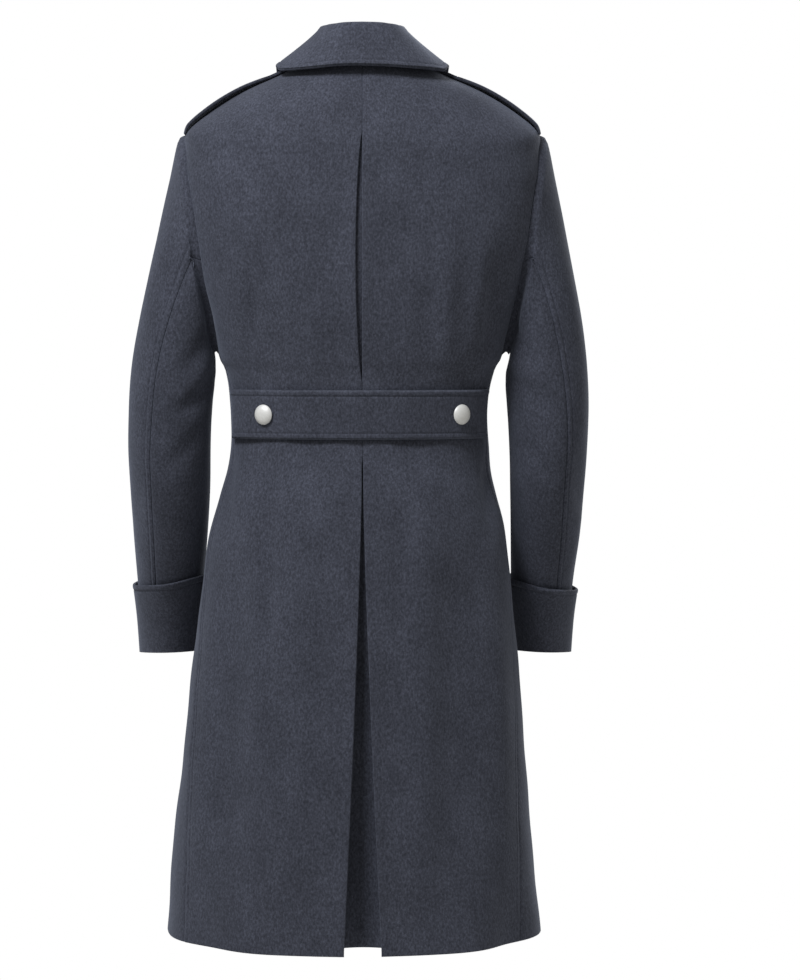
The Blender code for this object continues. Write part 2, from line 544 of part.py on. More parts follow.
def make_cuffs():
    """Turn-back cuffs: a deep band round each sleeve end, whose top edge stands off a little."""
    share = np.linspace(0.0, 1.0, 5)[:, None]
    turn = np.linspace(360.0, 0.0, 25)[None, :-1]
    outer_side = 0.5 + 0.5 * np.cos(np.radians(turn))
    top_row = CUFF_TOP_ROW - CUFF_DROP_ROWS * (1.0 - outer_side)
    row = top_row + (SLEEVE_END_ROW - top_row) * share
    points = sleeve(row, turn)
    out = grid_out(points, closed=True)
    stand = CUFF_LAY + CLOTH + CUFF_FLARE * (1.0 - share) ** 2.0
    outer = points + out * stand[..., None]
    inner = outer - out * CLOTH
    spread = [spread_sleeve(face, row, turn) for face in (outer, inner)]
    place("cuff_left", wall_mesh("cuff_left", *spread, closed=True), WOOL_DARK)
    place("cuff_right", wall_mesh("cuff_right", mirrored(outer), mirrored(inner), closed=True), WOOL_DARK)


def make_straps():
    """Shoulder straps from the sleeve head to under the collar, arched a little off the shoulder."""
    rows = np.linspace(STRAP_INNER_ROW, ARMHOLE_TOP_ROW, 10)[:, None]
    across = np.linspace(-STRAP_HALF_WIDTH, STRAP_HALF_WIDTH, 5)[None, :]
    width = torso_value(rows, "half_width")
    angle = np.degrees(np.arctan2(width, -across))
    out = torso_out(rows, angle)
    share = np.linspace(0.0, 1.0, 10)[:, None]
    stand = LAY + LINED + STRAP_ARCH * np.sin(math.pi * np.clip((share - 0.15) / 0.85, 0.0, 1.0)) ** 0.8
    outer = torso(rows, angle) + out * stand[..., None]
    inner = outer - out * LINED
    place("shoulder_strap_left", wall_mesh("shoulder_strap_left", outer, inner), WOOL)
    mesh = wall_mesh("shoulder_strap_right", mirrored(outer), mirrored(inner))
    place("shoulder_strap_right", mesh, WOOL)


def collar_grid(angle, thickness):
    """Neck side of the stand, the roll of the fold and the top side of the leaf, round the neck."""
    side = np.sign(angle)
    places = np.interp(np.abs(angle), COLLAR_ROWS[:, 0], np.arange(len(COLLAR_ROWS)))
    values = np.moveaxis(along(COLLAR_ROWS, places), -1, 0)[1:]
    crest = np.stack((values[0] * side, values[1], values[2]), -1)
    leaf = np.stack((values[3] * side, values[4], values[5]), -1)
    seam = torso(0.0, angle)
    seam_out = unit(seam * np.array((1.0, 1.0, 0.0)))
    lift = np.array((0.0, 0.0, 1.0))
    start = seam - seam_out * (thickness + STAND_INSET) + lift * STAND_LIFT
    away = unit(np.where(np.abs(leaf - crest) > 0, leaf - crest, 1e-6) * np.array((1.0, 1.0, 0.0)))
    rise = crest - away * COLLAR_ROLL - lift * COLLAR_ROLL * 1.3
    fall = crest + away * COLLAR_ROLL - lift * COLLAR_ROLL * 1.1
    middle = (start + rise) / 2 - seam_out * 0.001
    slope = fall + (leaf - fall) * 0.5 - lift * 0.0005
    return start, middle, rise, crest, fall, slope, leaf


def make_collar():
    """Collar: a stand on the neck seam, rolled over at the fold into a leaf with two front points."""
    angle = np.concatenate((-COLLAR_ANGLES[:0:-1], COLLAR_ANGLES))
    controls = np.stack(collar_grid(angle, LINED))
    points = np.stack([along(controls[:, number], COLLAR_PLACES) for number in range(len(angle))], axis=1)
    cloth_piece("collar", points, LINED)


clear_scene()
make_backs()
make_fronts()
make_underlays()
make_half_belt()
make_straps()
make_collar()
make_sleeves()
make_cuffs()
make_buttons()
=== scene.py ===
"""A military greatcoat in heavy blue-grey wool, hollow, as it hangs on a standing wearer, seen from the back.

Metres, +Z up. The front faces -Y, the back +Y, and +X is the wearer's left. The origin is on the midline
at the level of the neck seam.
"""
import math

import bpy
import numpy as np
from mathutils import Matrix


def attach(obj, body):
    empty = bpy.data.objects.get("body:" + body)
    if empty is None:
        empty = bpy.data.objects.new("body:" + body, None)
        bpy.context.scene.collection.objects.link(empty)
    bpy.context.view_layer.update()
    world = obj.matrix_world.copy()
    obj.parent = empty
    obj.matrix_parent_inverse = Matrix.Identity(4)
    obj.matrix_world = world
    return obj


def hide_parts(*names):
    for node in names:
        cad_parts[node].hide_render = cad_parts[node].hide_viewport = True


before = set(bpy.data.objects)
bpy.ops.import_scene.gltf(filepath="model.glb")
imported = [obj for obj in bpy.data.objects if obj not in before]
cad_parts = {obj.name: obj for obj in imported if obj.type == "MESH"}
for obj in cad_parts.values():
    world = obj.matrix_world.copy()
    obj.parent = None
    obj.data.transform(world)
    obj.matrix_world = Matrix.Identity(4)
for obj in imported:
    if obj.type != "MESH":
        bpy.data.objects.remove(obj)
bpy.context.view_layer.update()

# The room: a camera five metres behind the coat, level with the upper back, a pale round floor far under the
# hem, and even white air with a soft lamp at the upper left, aimed high so that its light fades down the
# skirt, and a fill in front.
EYE = (0.0, 5.0, -0.302)
AIM = (-0.0472, 0.0, -0.5413)
EYE_SENSOR = 36.0
EYE_LENS = 145.84


def place_and_aim(thing, place, target):
    """Links a camera or lamp at a place and turns its view, -Z, towards a target with its top upwards."""
    bpy.context.scene.collection.objects.link(thing)
    thing.location = place
    way = np.array(target) - np.array(place)
    thing.rotation_euler = (math.atan2(math.hypot(way[0], way[1]), -way[2]), 0.0, math.atan2(-way[0], way[1]))


eye = bpy.data.cameras.new("back_view")
eye.sensor_width = EYE_SENSOR
eye.lens = EYE_LENS
eye_object = bpy.data.objects.new("back_view", eye)
place_and_aim(eye_object, EYE, AIM)
bpy.context.scene.camera = eye_object
bpy.context.scene.view_settings.view_transform = "Standard"

FLOOR_LEVEL = -1.52
FLOOR_RADIUS = 1.5
FLOOR_COLOUR = (0.68, 0.67, 0.65, 1.0)
FLOOR_ROUGHNESS = 0.9
bpy.ops.mesh.primitive_circle_add(vertices=96, radius=FLOOR_RADIUS, fill_type="NGON",
                                  location=(0.0, 0.0, FLOOR_LEVEL))
floor = bpy.context.object
floor.name = "floor"
paint = bpy.data.materials.new("pale_floor")
paint.use_nodes = True
paint.node_tree.nodes["Principled BSDF"].inputs["Base Color"].default_value = FLOOR_COLOUR
paint.node_tree.nodes["Principled BSDF"].inputs["Roughness"].default_value = FLOOR_ROUGHNESS
floor.data.materials.append(paint)

AIR_LIGHT = 0.30
AIR_COLOUR = (1.0, 0.985, 0.96, 1.0)
air = bpy.data.worlds.new("studio_air")
bpy.context.scene.world = air
air.use_nodes = True
lamp_nodes = air.node_tree.nodes
glow = lamp_nodes["Background"]
glow.inputs["Color"].default_value = AIR_COLOUR
glow.inputs["Strength"].default_value = AIR_LIGHT
backdrop = lamp_nodes.new("ShaderNodeBackground")
backdrop.inputs["Color"].default_value = (1.0, 1.0, 1.0, 1.0)
seen = lamp_nodes.new("ShaderNodeLightPath")
choice = lamp_nodes.new("ShaderNodeMixShader")
air.node_tree.links.new(seen.outputs["Is Camera Ray"], choice.inputs[0])
air.node_tree.links.new(glow.outputs[0], choice.inputs[1])
air.node_tree.links.new(backdrop.outputs[0], choice.inputs[2])
air.node_tree.links.new(choice.outputs[0], lamp_nodes["World Output"].inputs["Surface"])

# Columns: name, place, level aimed at, size, power, colour.
LAMPS = (
    ("key", (1.35, 1.8, 2.2), 1.2, 1.0, 95.0, (0.97, 0.985, 1.04)),
    ("front_fill", (-1.8, -3.6, 1.2), -0.45, 2.4, 80.0, (1.0, 1.0, 1.0)),
)
for lamp_name, lamp_place, aim_level, lamp_size, lamp_power, lamp_colour in LAMPS:
    lamp = bpy.data.lights.new(lamp_name, "AREA")
    lamp.size = lamp_size
    lamp.energy = lamp_power
    lamp.color = lamp_colour
    place_and_aim(bpy.data.objects.new(lamp_name, lamp), lamp_place, (0.0, 0.0, aim_level))

# The two backs: full-length panels of napped wool melton, cut from the neck and shoulder to the hem. They are
# sewn together at the centre, except where the action pleat above the belt and the vent pleat below it open.
# Walls of one layer and of two, the air under a piece that lies on another, and the gap at a seam: below
# nought, because the walls overlap a little there so that no light shows through.
CLOTH = 0.003
LINED = 0.004
LAY = 0.0009
SEAM = -0.0005
RIM = 0.0009
UNDERLAY_GAP = 0.0018
HEM_LENGTH = 1.10
UPPER_PLEAT_TOP = -0.095
UPPER_PLEAT_BOTTOM = -0.404
UPPER_PLEAT_GAP = 0.0085
SKIRT_PLEAT_TOP = -0.530
SKIRT_PLEAT_HALF = 0.0232
SKIRT_PLEAT_DEPTH = 0.034
PLEAT_TACK = -0.487
PLEAT_PARTING = 0.0011
GRAIN = 0.0056

TORSO_COLUMNS = ("side_z", "back_z", "front_z", "half_width", "back", "front",
                 "square", "sway", "back_edge", "front_edge", "lap")
TORSO_ROWS = np.array((
    (-0.004, 0.000, -0.060, 0.0720, 0.0700, 0.0760, 2.10, 0.0000, 90.0, 90.0, 0.012),
    (-0.021, -0.020, -0.085, 0.1040, 0.0820, 0.0890, 2.20, 0.0000, 90.0, 90.0, 0.034),
    (-0.042, -0.047, -0.111, 0.1500, 0.0960, 0.1020, 2.30, 0.0000, 90.0, 90.0, 0.052),
    (-0.067, -0.078, -0.138, 0.1900, 0.1070, 0.1130, 2.40, 0.0000, 90.0, 90.0, 0.062),
    (-0.092, -0.107, -0.160, 0.2200, 0.1150, 0.1200, 2.45, 0.0000, 90.0, 90.0, 0.068),
    (-0.115, -0.133, -0.181, 0.2235, 0.1180, 0.1250, 2.50, 0.0000, 82.3, 98.5, 0.070),
    (-0.152, -0.165, -0.206, 0.2280, 0.1210, 0.1295, 2.60, 0.0000, 76.6, 105.5, 0.072),
    (-0.192, -0.199, -0.232, 0.2270, 0.1235, 0.1325, 2.60, 0.0000, 73.5, 110.0, 0.073),
    (-0.233, -0.237, -0.258, 0.2205, 0.1245, 0.1340, 2.60, 0.0000, 73.0, 111.0, 0.073),
    (-0.274, -0.276, -0.288, 0.2075, 0.1248, 0.1345, 2.60, 0.0003, 75.0, 107.0, 0.073),
    (-0.320, -0.321, -0.327, 0.1920, 0.1225, 0.1330, 2.55, 0.0010, 79.0, 98.0, 0.073),
    (-0.374, -0.375, -0.376, 0.1770, 0.1160, 0.1265, 2.46, 0.0022, 84.0, 84.0, 0.073),
    (-0.386, -0.386, -0.386, 0.1705, 0.1135, 0.1240, 2.43, 0.0027, 82.5, 82.5, 0.073),
    (-0.398, -0.398, -0.398, 0.1670, 0.1115, 0.1225, 2.40, 0.0030, 81.0, 81.0, 0.073),
    (-0.410, -0.410, -0.410, 0.1645, 0.1100, 0.1210, 2.35, 0.0033, 79.5, 79.5, 0.073),
    (-0.427, -0.427, -0.427, 0.1625, 0.1080, 0.1190, 2.32, 0.0035, 79.0, 79.0, 0.073),
    (-0.448, -0.448, -0.448, 0.1615, 0.1072, 0.1180, 2.30, 0.0035, 79.0, 79.0, 0.073),
    (-0.480, -0.480, -0.480, 0.1622, 0.1095, 0.1190, 2.30, 0.0035, 79.0, 79.0, 0.073),
    (-0.515, -0.515, -0.515, 0.1655, 0.1180, 0.1240, 2.30, 0.0045, 79.5, 79.5, 0.074),
    (-0.550, -0.550, -0.550, 0.1745, 0.1290, 0.1290, 2.30, 0.0060, 80.0, 80.0, 0.074),
    (-0.600, -0.600, -0.600, 0.1870, 0.1385, 0.1335, 2.28, 0.0065, 80.0, 80.0, 0.075),
    (-0.680, -0.680, -0.680, 0.1965, 0.1445, 0.1380, 2.25, 0.0075, 79.0, 79.0, 0.076),
    (-0.780, -0.780, -0.780, 0.2075, 0.1515, 0.1440, 2.22, 0.0090, 76.5, 76.5, 0.077),
    (-0.880, -0.880, -0.880, 0.2160, 0.1580, 0.1500, 2.20, 0.0110, 73.5, 73.5, 0.078),
    (-0.990, -0.990, -0.990, 0.2265, 0.1640, 0.1555, 2.20, 0.0120, 71.0, 71.0, 0.079),
    (-1.100, -1.106, -1.103, 0.2355, 0.1700, 0.1600, 2.20, 0.0110, 69.0, 69.0, 0.080),
))
HEM_ROW = len(TORSO_ROWS) - 1.0

# Flutes that grow towards the hem. Columns: angle, spread in degrees, level of the start, depth at the hem.
FLUTES = np.array((
    (-63.0, 9.0, -0.58, -0.0075),
    (-44.0, 12.0, -0.66, 0.0050),
    (38.0, 13.0, -0.70, 0.0045),
    (58.0, 9.0, -0.62, -0.0050),
    (104.0, 11.0, -0.60, 0.0060),
    (127.0, 10.0, -0.68, -0.0060),
    (-108.0, 12.0, -0.60, 0.0060),
    (-132.0, 10.0, -0.70, -0.0055),
))

# Soft folds of the two backs. Columns: x and z of one end, x and z of the other, half-width and height, in
# metres. A height below nought is a trough.
BACK_FOLDS = np.array((
    (0.135, -0.255, 0.136, -0.357, 0.007, -0.0030),
    (0.160, -0.167, 0.124, -0.255, 0.015, 0.0022),
    (-0.110, -0.180, -0.103, -0.405, 0.013, 0.0040),
    (-0.150, -0.198, -0.137, -0.391, 0.013, 0.0048),
    (-0.077, -0.241, -0.081, -0.405, 0.015, -0.0029),
    (-0.169, -0.241, -0.152, -0.376, 0.011, -0.0034),
    (0.116, -0.492, 0.118, -0.794, 0.010, -0.0049),
    (0.156, -0.547, 0.172, -1.040, 0.028, -0.0081),
    (0.086, -0.510, 0.082, -0.819, 0.020, 0.0020),
    (-0.051, -0.520, -0.046, -0.720, 0.016, -0.0049),
    (-0.080, -0.510, -0.075, -1.046, 0.020, 0.0045),
    (-0.117, -0.596, -0.114, -1.096, 0.028, -0.0069),
    (-0.159, -0.547, -0.175, -1.104, 0.019, 0.0085),
    (0.137, -0.866, 0.145, -1.094, 0.025, -0.0028),
    (0.076, -0.792, 0.071, -1.094, 0.028, 0.0024),
))

# Soft creases of the sides and fronts: the same columns, but each x is an angle round the body from the
# centre back, in degrees, on a body where one degree is DEGREE_LENGTH long.
DEGREE_LENGTH = 0.003
BODY_CREASES = np.array((
    (74.0, -0.335, 50.0, -0.405, 0.012, -0.0023),
    (-74.0, -0.330, -50.0, -0.400, 0.012, -0.0027),
    (80.0, -0.490, 62.0, -0.600, 0.016, -0.0034),
    (-80.0, -0.490, -62.0, -0.610, 0.016, -0.0038),
    (112.0, -0.260, 134.0, -0.400, 0.016, -0.0046),
    (-112.0, -0.260, -136.0, -0.390, 0.016, -0.0046),
    (104.0, -0.330, 122.0, -0.420, 0.013, 0.0030),
    (-104.0, -0.330, -124.0, -0.425, 0.013, 0.0030),
    (106.0, -0.500, 128.0, -0.620, 0.018, -0.0046),
    (-106.0, -0.500, -126.0, -0.640, 0.018, -0.0046),
    (146.0, -0.620, 150.0, -1.080, 0.024, 0.0053),
    (-146.0, -0.640, -150.0, -1.080, 0.024, 0.0053),
    (128.0, -0.660, 132.0, -1.090, 0.022, -0.0049),
    (-130.0, -0.620, -134.0, -1.090, 0.022, -0.0053),
))

# Three slow waves of the cloth. Columns: height, waves' pace round the body and down it, phase.
BODY_WAVES = ((0.0005, 41.0, 23.0, 0.6), (0.0004, -67.0, 31.0, 0.0), (0.0003, 19.0, -74.0, 1.9))


def smooth_step(value):
    """Nought below 0, one above 1, and an even S between: three squares less two cubes."""
    part = np.clip(value, 0.0, 1.0)
    return part * part * (3.0 - 2.0 * part)


def unit(vectors):
    """Each vector divided by its own length."""
    return vectors / np.linalg.norm(vectors, axis=-1, keepdims=True)


def bell(distance, width):
    """One at no distance, falling as the exponential of the square of distance over width."""
    return np.exp(-(distance / width) ** 2)


def half_turned(angle):
    """The same angle, brought to between -180 and 180 degrees."""
    return (angle + 180.0) % 360.0 - 180.0


def run_length(points):
    """Distance along a path from its first point to each of its points, for one path or for many."""
    steps = np.linalg.norm(np.diff(points, axis=0), axis=-1)
    return np.concatenate((np.zeros_like(steps[:1]), np.cumsum(steps, axis=0)))


def along(rows, place):
    """Values of a table at a place between its rows: a cubic that is level at each peak and hollow."""
    place = np.clip(np.asarray(place, dtype=float), 0.0, len(rows) - 1.0)
    low = np.minimum(place.astype(int), len(rows) - 2)
    part = (place - low)[..., None]
    before = rows[np.maximum(low - 1, 0)]
    start = rows[low]
    end = rows[low + 1]
    after = rows[np.minimum(low + 2, len(rows) - 1)]
    leave = np.where((start - before) * (end - start) > 0.0, (end - before) / 2.0, 0.0)
    arrive = np.where((end - start) * (after - end) > 0.0, (after - start) / 2.0, 0.0)
    return (start * (1 + 2 * part) * (1 - part) ** 2 + leave * part * (1 - part) ** 2
            + end * part ** 2 * (3 - 2 * part) + arrive * part ** 2 * (part - 1))


def torso_value(row, column):
    """One column of the body's table at a place between its rows."""
    return along(TORSO_ROWS, row)[..., TORSO_COLUMNS.index(column)]


def torso_row_at(level, column="back_z"):
    """The row whose back, or front, lies at a level."""
    places = np.linspace(0.0, HEM_ROW, 501)
    return np.interp(-np.asarray(level, dtype=float), -torso_value(places, column), places)


def torso(row, angle):
    """Outer cloth of the body: a rounded box section for each row, at an angle from the centre back."""
    row, angle = np.broadcast_arrays(np.asarray(row, dtype=float), np.asarray(angle, dtype=float))
    side_z, back_z, front_z, half_width, back, front, square, sway = np.moveaxis(
        along(TORSO_ROWS, row)[..., :8], -1, 0)
    across = np.sin(np.radians(angle))
    behind = np.cos(np.radians(angle))
    depth = np.where(behind >= 0.0, back, front)
    end_z = np.where(behind >= 0.0, back_z, front_z)
    reach = ((np.abs(across) / half_width) ** square + (np.abs(behind) / depth) ** square) ** (-1.0 / square)
    level = side_z + (end_z - side_z) * (reach * behind / depth) ** 2
    for centre, spread, start, deep in FLUTES:
        growth = np.clip((start - level) / (start + HEM_LENGTH), 0.0, 1.0) ** 1.4
        reach = reach + deep * growth * bell(half_turned(angle) - centre, spread)
    return np.stack((sway + reach * across, reach * behind, level), axis=-1)


def torso_out(row, angle):
    """Outward unit vectors of the body's cloth, from small steps along it."""
    down = torso(row + 0.01, angle) - torso(row - 0.01, angle)
    round_body = torso(row, angle + 0.25) - torso(row, angle - 0.25)
    return unit(np.cross(round_body, down))


def angle_at(row, across, front=False):
    """The angle at which a row reaches a distance from the midline, at the back or at the front."""
    half_width = torso_value(row, "half_width")
    depth = torso_value(row, "front" if front else "back")
    square = torso_value(row, "square")
    share = np.clip(np.abs(across) / half_width, 0.0, 0.999)
    turn = np.degrees(np.arctan2(across, depth * (1.0 - share ** square) ** (1.0 / square)))
    return 180.0 - turn if front else turn


def crease_height(table, aside, level, metres):
    """Height of a table's creases: across each its bell, along it a rise and fall, summed over all.

    aside is in degrees or metres, as the table is, and metres is the length of one of its units.
    """
    total = np.zeros(np.broadcast(aside, level).shape)
    for aside_from, level_from, aside_to, level_to, width, height in table:
        run = (aside_to - aside_from) * metres
        fall = level_to - level_from
        east = (aside - aside_from) * metres
        south = level - level_from
        part = np.clip((east * run + south * fall) / (run ** 2 + fall ** 2), 0.0, 1.0)
        distance = np.hypot(east - part * run, south - part * fall)
        total += height * np.sin(math.pi * part) ** 0.8 * bell(distance, width)
    return total


def body_relief(angle, level):
    """Creases of the body and the sum of three slow sine waves, which fade out at the neck seam."""
    turned = half_turned(angle)
    aside = turned * DEGREE_LENGTH
    wave = sum(height * np.sin(aside * pace_round + level * pace_down + phase)
               for height, pace_round, pace_down, phase in BODY_WAVES)
    ease = smooth_step((-0.03 - level) / 0.06)
    return crease_height(BODY_CREASES, turned, level, DEGREE_LENGTH) + wave * ease


def spaced(length, near_start, near_end, grain=GRAIN):
    """Places along a length: given ones near each end, even steps of about one grain between them."""
    first, last = near_start[-1], length - near_end[-1]
    count = max(2, int(round((last - first) / grain)))
    return np.concatenate((near_start, np.linspace(first, last, count + 1)[1:-1],
                           length - np.asarray(near_end)[::-1]))


def panel_rows(angle, near_start, near_end):
    """Rows of a body panel, evenly spaced down the cloth and closer at its top and its hem."""
    places = np.linspace(0.0, HEM_ROW, 900)
    length = run_length(torso(places, angle))
    return np.interp(spaced(length[-1], near_start, near_end), length, places)


def degree_pace(rows, edge):
    """Length of one degree of the body's cloth at an edge, as a column with a value for each row."""
    return np.linalg.norm(torso(rows, edge + 0.5) - torso(rows, edge - 0.5), axis=-1)[:, None]


def panel_angles(rows, start, end, columns):
    """Angles of a panel's columns: set distances from each side edge, and even shares between them."""
    left = start[:, None] + np.array(NEAR_STITCH) / degree_pace(rows, start)
    right = end[:, None] - np.array(NEAR_STITCH)[::-1] / degree_pace(rows, end)
    share = np.linspace(0.0, 1.0, columns + 2)[None, 1:-1]
    between = left[:, -1:] + (right[:, :1] - left[:, -1:]) * share
    return np.hstack((left, between, right))


def grid_out(points, closed=False):
    """Outward unit vectors of a grid, from the steps round it and down it."""
    down = np.gradient(points, axis=0)
    if closed:
        aside = np.roll(points, -1, axis=1) - np.roll(points, 1, axis=1)
    else:
        aside = np.gradient(points, axis=1)
    return unit(np.cross(aside, down))


def new_mesh(name, points, faces):
    """A smooth-shaded mesh from an array of points and a list of faces."""
    mesh = bpy.data.meshes.new(name)
    mesh.from_pydata(points.tolist(), [], faces)
    mesh.update()
    mesh.shade_smooth()
    return mesh


def shell_mesh(name, outer, out, thickness, edge, closed):
    """A wall of cloth with rounded rims, between a grid and the same grid one thickness in.

    The thickness is one value, or a grid of them. Each rim is half an ellipse: cosine times half the
    thickness along the wall, sine times edge outwards. A closed wall's last column joins its first.
    """
    rows, columns = outer.shape[:2]
    ids = np.arange(rows * columns).reshape(rows, columns)
    away = np.zeros_like(outer)
    away[0] += unit(outer[0] - outer[1])
    away[-1] += unit(outer[-1] - outer[-2])
    if closed:
        loops = [ids[0], ids[-1][::-1]]
    else:
        away[:, 0] += unit(outer[:, 0] - outer[:, 1])
        away[:, -1] += unit(outer[:, -1] - outer[:, -2])
        loops = [np.concatenate((ids[0], ids[1:, -1], ids[-1, -2::-1], ids[-2:0:-1, 0]))]
    length = np.linalg.norm(away, axis=-1, keepdims=True)
    away = np.where(length > 0.0, away / np.maximum(length, 1e-9), 0.0)
    face = (outer - away * edge).reshape(-1, 3)
    flat_out = out.reshape(-1, 3)
    flat_away = away.reshape(-1, 3)
    thick = np.broadcast_to(thickness, (rows, columns)).reshape(-1, 1)
    points = [face, face - flat_out * thick]
    count = 2 * len(face)
    wide = np.hstack((ids, ids[:, :1])) if closed else ids
    front = np.stack((wide[:-1, :-1], wide[:-1, 1:], wide[1:, 1:], wide[1:, :-1]), -1).reshape(-1, 4)
    faces = [front, front[:, ::-1] + len(face)]
    for loop in loops:
        rings = [loop]
        for turn in (math.pi / 4, math.pi / 2, 3 * math.pi / 4):
            middle = face[loop] - flat_out[loop] * thick[loop] / 2
            points.append(middle + flat_out[loop] * thick[loop] / 2 * math.cos(turn)
                          + flat_away[loop] * edge * math.sin(turn))
            rings.append(np.arange(len(loop)) + count)
            count += len(loop)
        rings.append(loop + len(face))
        for near, far in zip(rings[:-1], rings[1:]):
            faces.append(np.stack((near, far, np.roll(far, -1), np.roll(near, -1)), -1))
    return new_mesh(name, np.concatenate(points), np.concatenate(faces).tolist())


def set_inputs(node, **values):
    """Sets a node's inputs and returns the node. In a name here, an underscore stands for a space."""
    for word, value in values.items():
        node.inputs[word.replace("_", " ")].default_value = value
    return node


def bare_material(name, **surface):
    """A new material, its nodes and links, and its shader with the given inputs set."""
    made = bpy.data.materials.new(name)
    made.use_nodes = True
    shader = set_inputs(made.node_tree.nodes["Principled BSDF"], **surface)
    return made, made.node_tree.nodes, made.node_tree.links, shader


WOOL = (0.058, 0.063, 0.084)
# Fibres from dark to light. Columns: value of the marl, share of the wool's colour.
WOOL_TONES = ((0.30, 0.58), (0.50, 1.0), (0.70, 1.56))
# Noises in the wool. Columns: name, scale, detail, roughness.
WOOL_NOISE = (("marl", 430.0, 3.0, 0.62), ("fibre", 1250.0, 2.0, 0.6), ("cloud", 26.0, 3.0, 0.55))
# How two of them tint it. Columns: noise, darkest, lightest.
WOOL_TINTS = (("cloud", 0.87, 1.13), ("fibre", 0.84, 1.16))


# A light below one gives a darker copy of the same wool; the copies below use it as painted shade.
def melton(name, light=1.0):
    """Napped wool: dark and light fibres in a fine marl, cloudy over a hand's width, under a soft nap."""
    made, nodes, links, shader = bare_material(
        name, Roughness=0.92, Specular_IOR_Level=0.22, Sheen_Weight=0.30, Sheen_Roughness=0.50,
        Sheen_Tint=(0.50, 0.56, 0.70, 1.0))
    place = nodes.new("ShaderNodeTexCoord")
    stretch = set_inputs(nodes.new("ShaderNodeMapping"), Scale=(1.0, 1.0, 0.62))
    links.new(place.outputs["Object"], stretch.inputs["Vector"])
    clouds = {}
    for word, scale, detail, rough in WOOL_NOISE:
        noise = set_inputs(nodes.new("ShaderNodeTexNoise"), Scale=scale, Detail=detail, Roughness=rough)
        links.new(stretch.outputs["Vector"], noise.inputs["Vector"])
        clouds[word] = noise.outputs["Fac"]
    ramp = nodes.new("ShaderNodeValToRGB")
    stops = ramp.color_ramp.elements
    stops.new(0.5)
    for stop, (spot, tone) in zip(stops, WOOL_TONES):
        stop.position = spot
        stop.color = (*(min(1.0, value * tone * light) for value in WOOL), 1.0)
    links.new(clouds["marl"], ramp.inputs["Fac"])
    both = nodes.new("ShaderNodeMath")
    both.operation = "MULTIPLY"
    for number, (word, darkest, lightest) in enumerate(WOOL_TINTS):
        tint = set_inputs(nodes.new("ShaderNodeMapRange"), From_Min=0.3, From_Max=0.7, To_Min=darkest,
                          To_Max=lightest)
        links.new(clouds[word], tint.inputs["Value"])
        links.new(tint.outputs["Result"], both.inputs[number])
    scaled = nodes.new("ShaderNodeVectorMath")
    scaled.operation = "SCALE"
    links.new(ramp.outputs["Color"], scaled.inputs[0])
    links.new(both.outputs["Value"], scaled.inputs["Scale"])
    links.new(scaled.outputs["Vector"], shader.inputs["Base Color"])
    nap = set_inputs(nodes.new("ShaderNodeBump"), Strength=0.45, Distance=0.0007)
    links.new(clouds["marl"], nap.inputs["Height"])
    links.new(nap.outputs["Normal"], shader.inputs["Normal"])
    return made


def noise_finish(name, colours, noise_inputs, roughness=None, **surface):
    """A finish whose colour, and roughness where two are given, run from first to second by a noise."""
    made, nodes, links, shader = bare_material(name, **surface)
    place = nodes.new("ShaderNodeTexCoord")
    noise = set_inputs(nodes.new("ShaderNodeTexNoise"), **noise_inputs)
    ramp = nodes.new("ShaderNodeValToRGB")
    for stop, colour in zip(ramp.color_ramp.elements, colours):
        stop.color = colour
    links.new(place.outputs["Object"], noise.inputs["Vector"])
    links.new(noise.outputs["Fac"], ramp.inputs["Fac"])
    links.new(ramp.outputs["Color"], shader.inputs["Base Color"])
    if roughness:
        polish = set_inputs(nodes.new("ShaderNodeMapRange"), To_Min=roughness[0], To_Max=roughness[1])
        links.new(noise.outputs["Fac"], polish.inputs["Value"])
        links.new(polish.outputs["Result"], shader.inputs["Roughness"])
    return made


wool_body = melton("wool_melton")


def add_piece(name, mesh, material, node=None):
    """Puts a mesh in the scene as a piece that moves with the coat and may stand for a solid of the part."""
    piece = bpy.data.objects.new(name, mesh)
    bpy.context.scene.collection.objects.link(piece)
    mesh.materials.append(material)
    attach(piece, "root")
    if node:
        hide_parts(node)
    return piece


def mirrored(points):
    """The other side's grid: X changes sign, and the columns turn round to keep the face outside."""
    return (points * np.array((-1.0, 1.0, 1.0)))[:, ::-1]


def add_cloth(name, outer, out, thickness, cloth, node, edge=RIM, closed=False):
    """Puts a wall of cloth in the scene, in place of the part's solid for it."""
    return add_piece(name, shell_mesh(name, outer, out, thickness, edge, closed), cloth, node)


# Dull cotton-covered thread, a little darker than the cloth, with its twist as fine bands.
THREAD_COLOURS = ((0.026, 0.029, 0.040, 1.0), (0.060, 0.065, 0.086, 1.0))
thread = noise_finish("sewing_thread", THREAD_COLOURS, {"Scale": 1800.0}, Roughness=0.75,
                      Specular_IOR_Level=0.3)
STITCH_LENGTH = 0.0030
STITCH_SPACE = 0.0011
STITCH_RADIUS = 0.00036
STITCH_SUNK = 0.0001
STITCH_SIDES = 6
# A stitch's sections. Columns: share of its length, share of its radius.
STITCH_SECTIONS = ((0.0, 0.3), (0.25, 1.0), (0.75, 1.0), (1.0, 0.3))


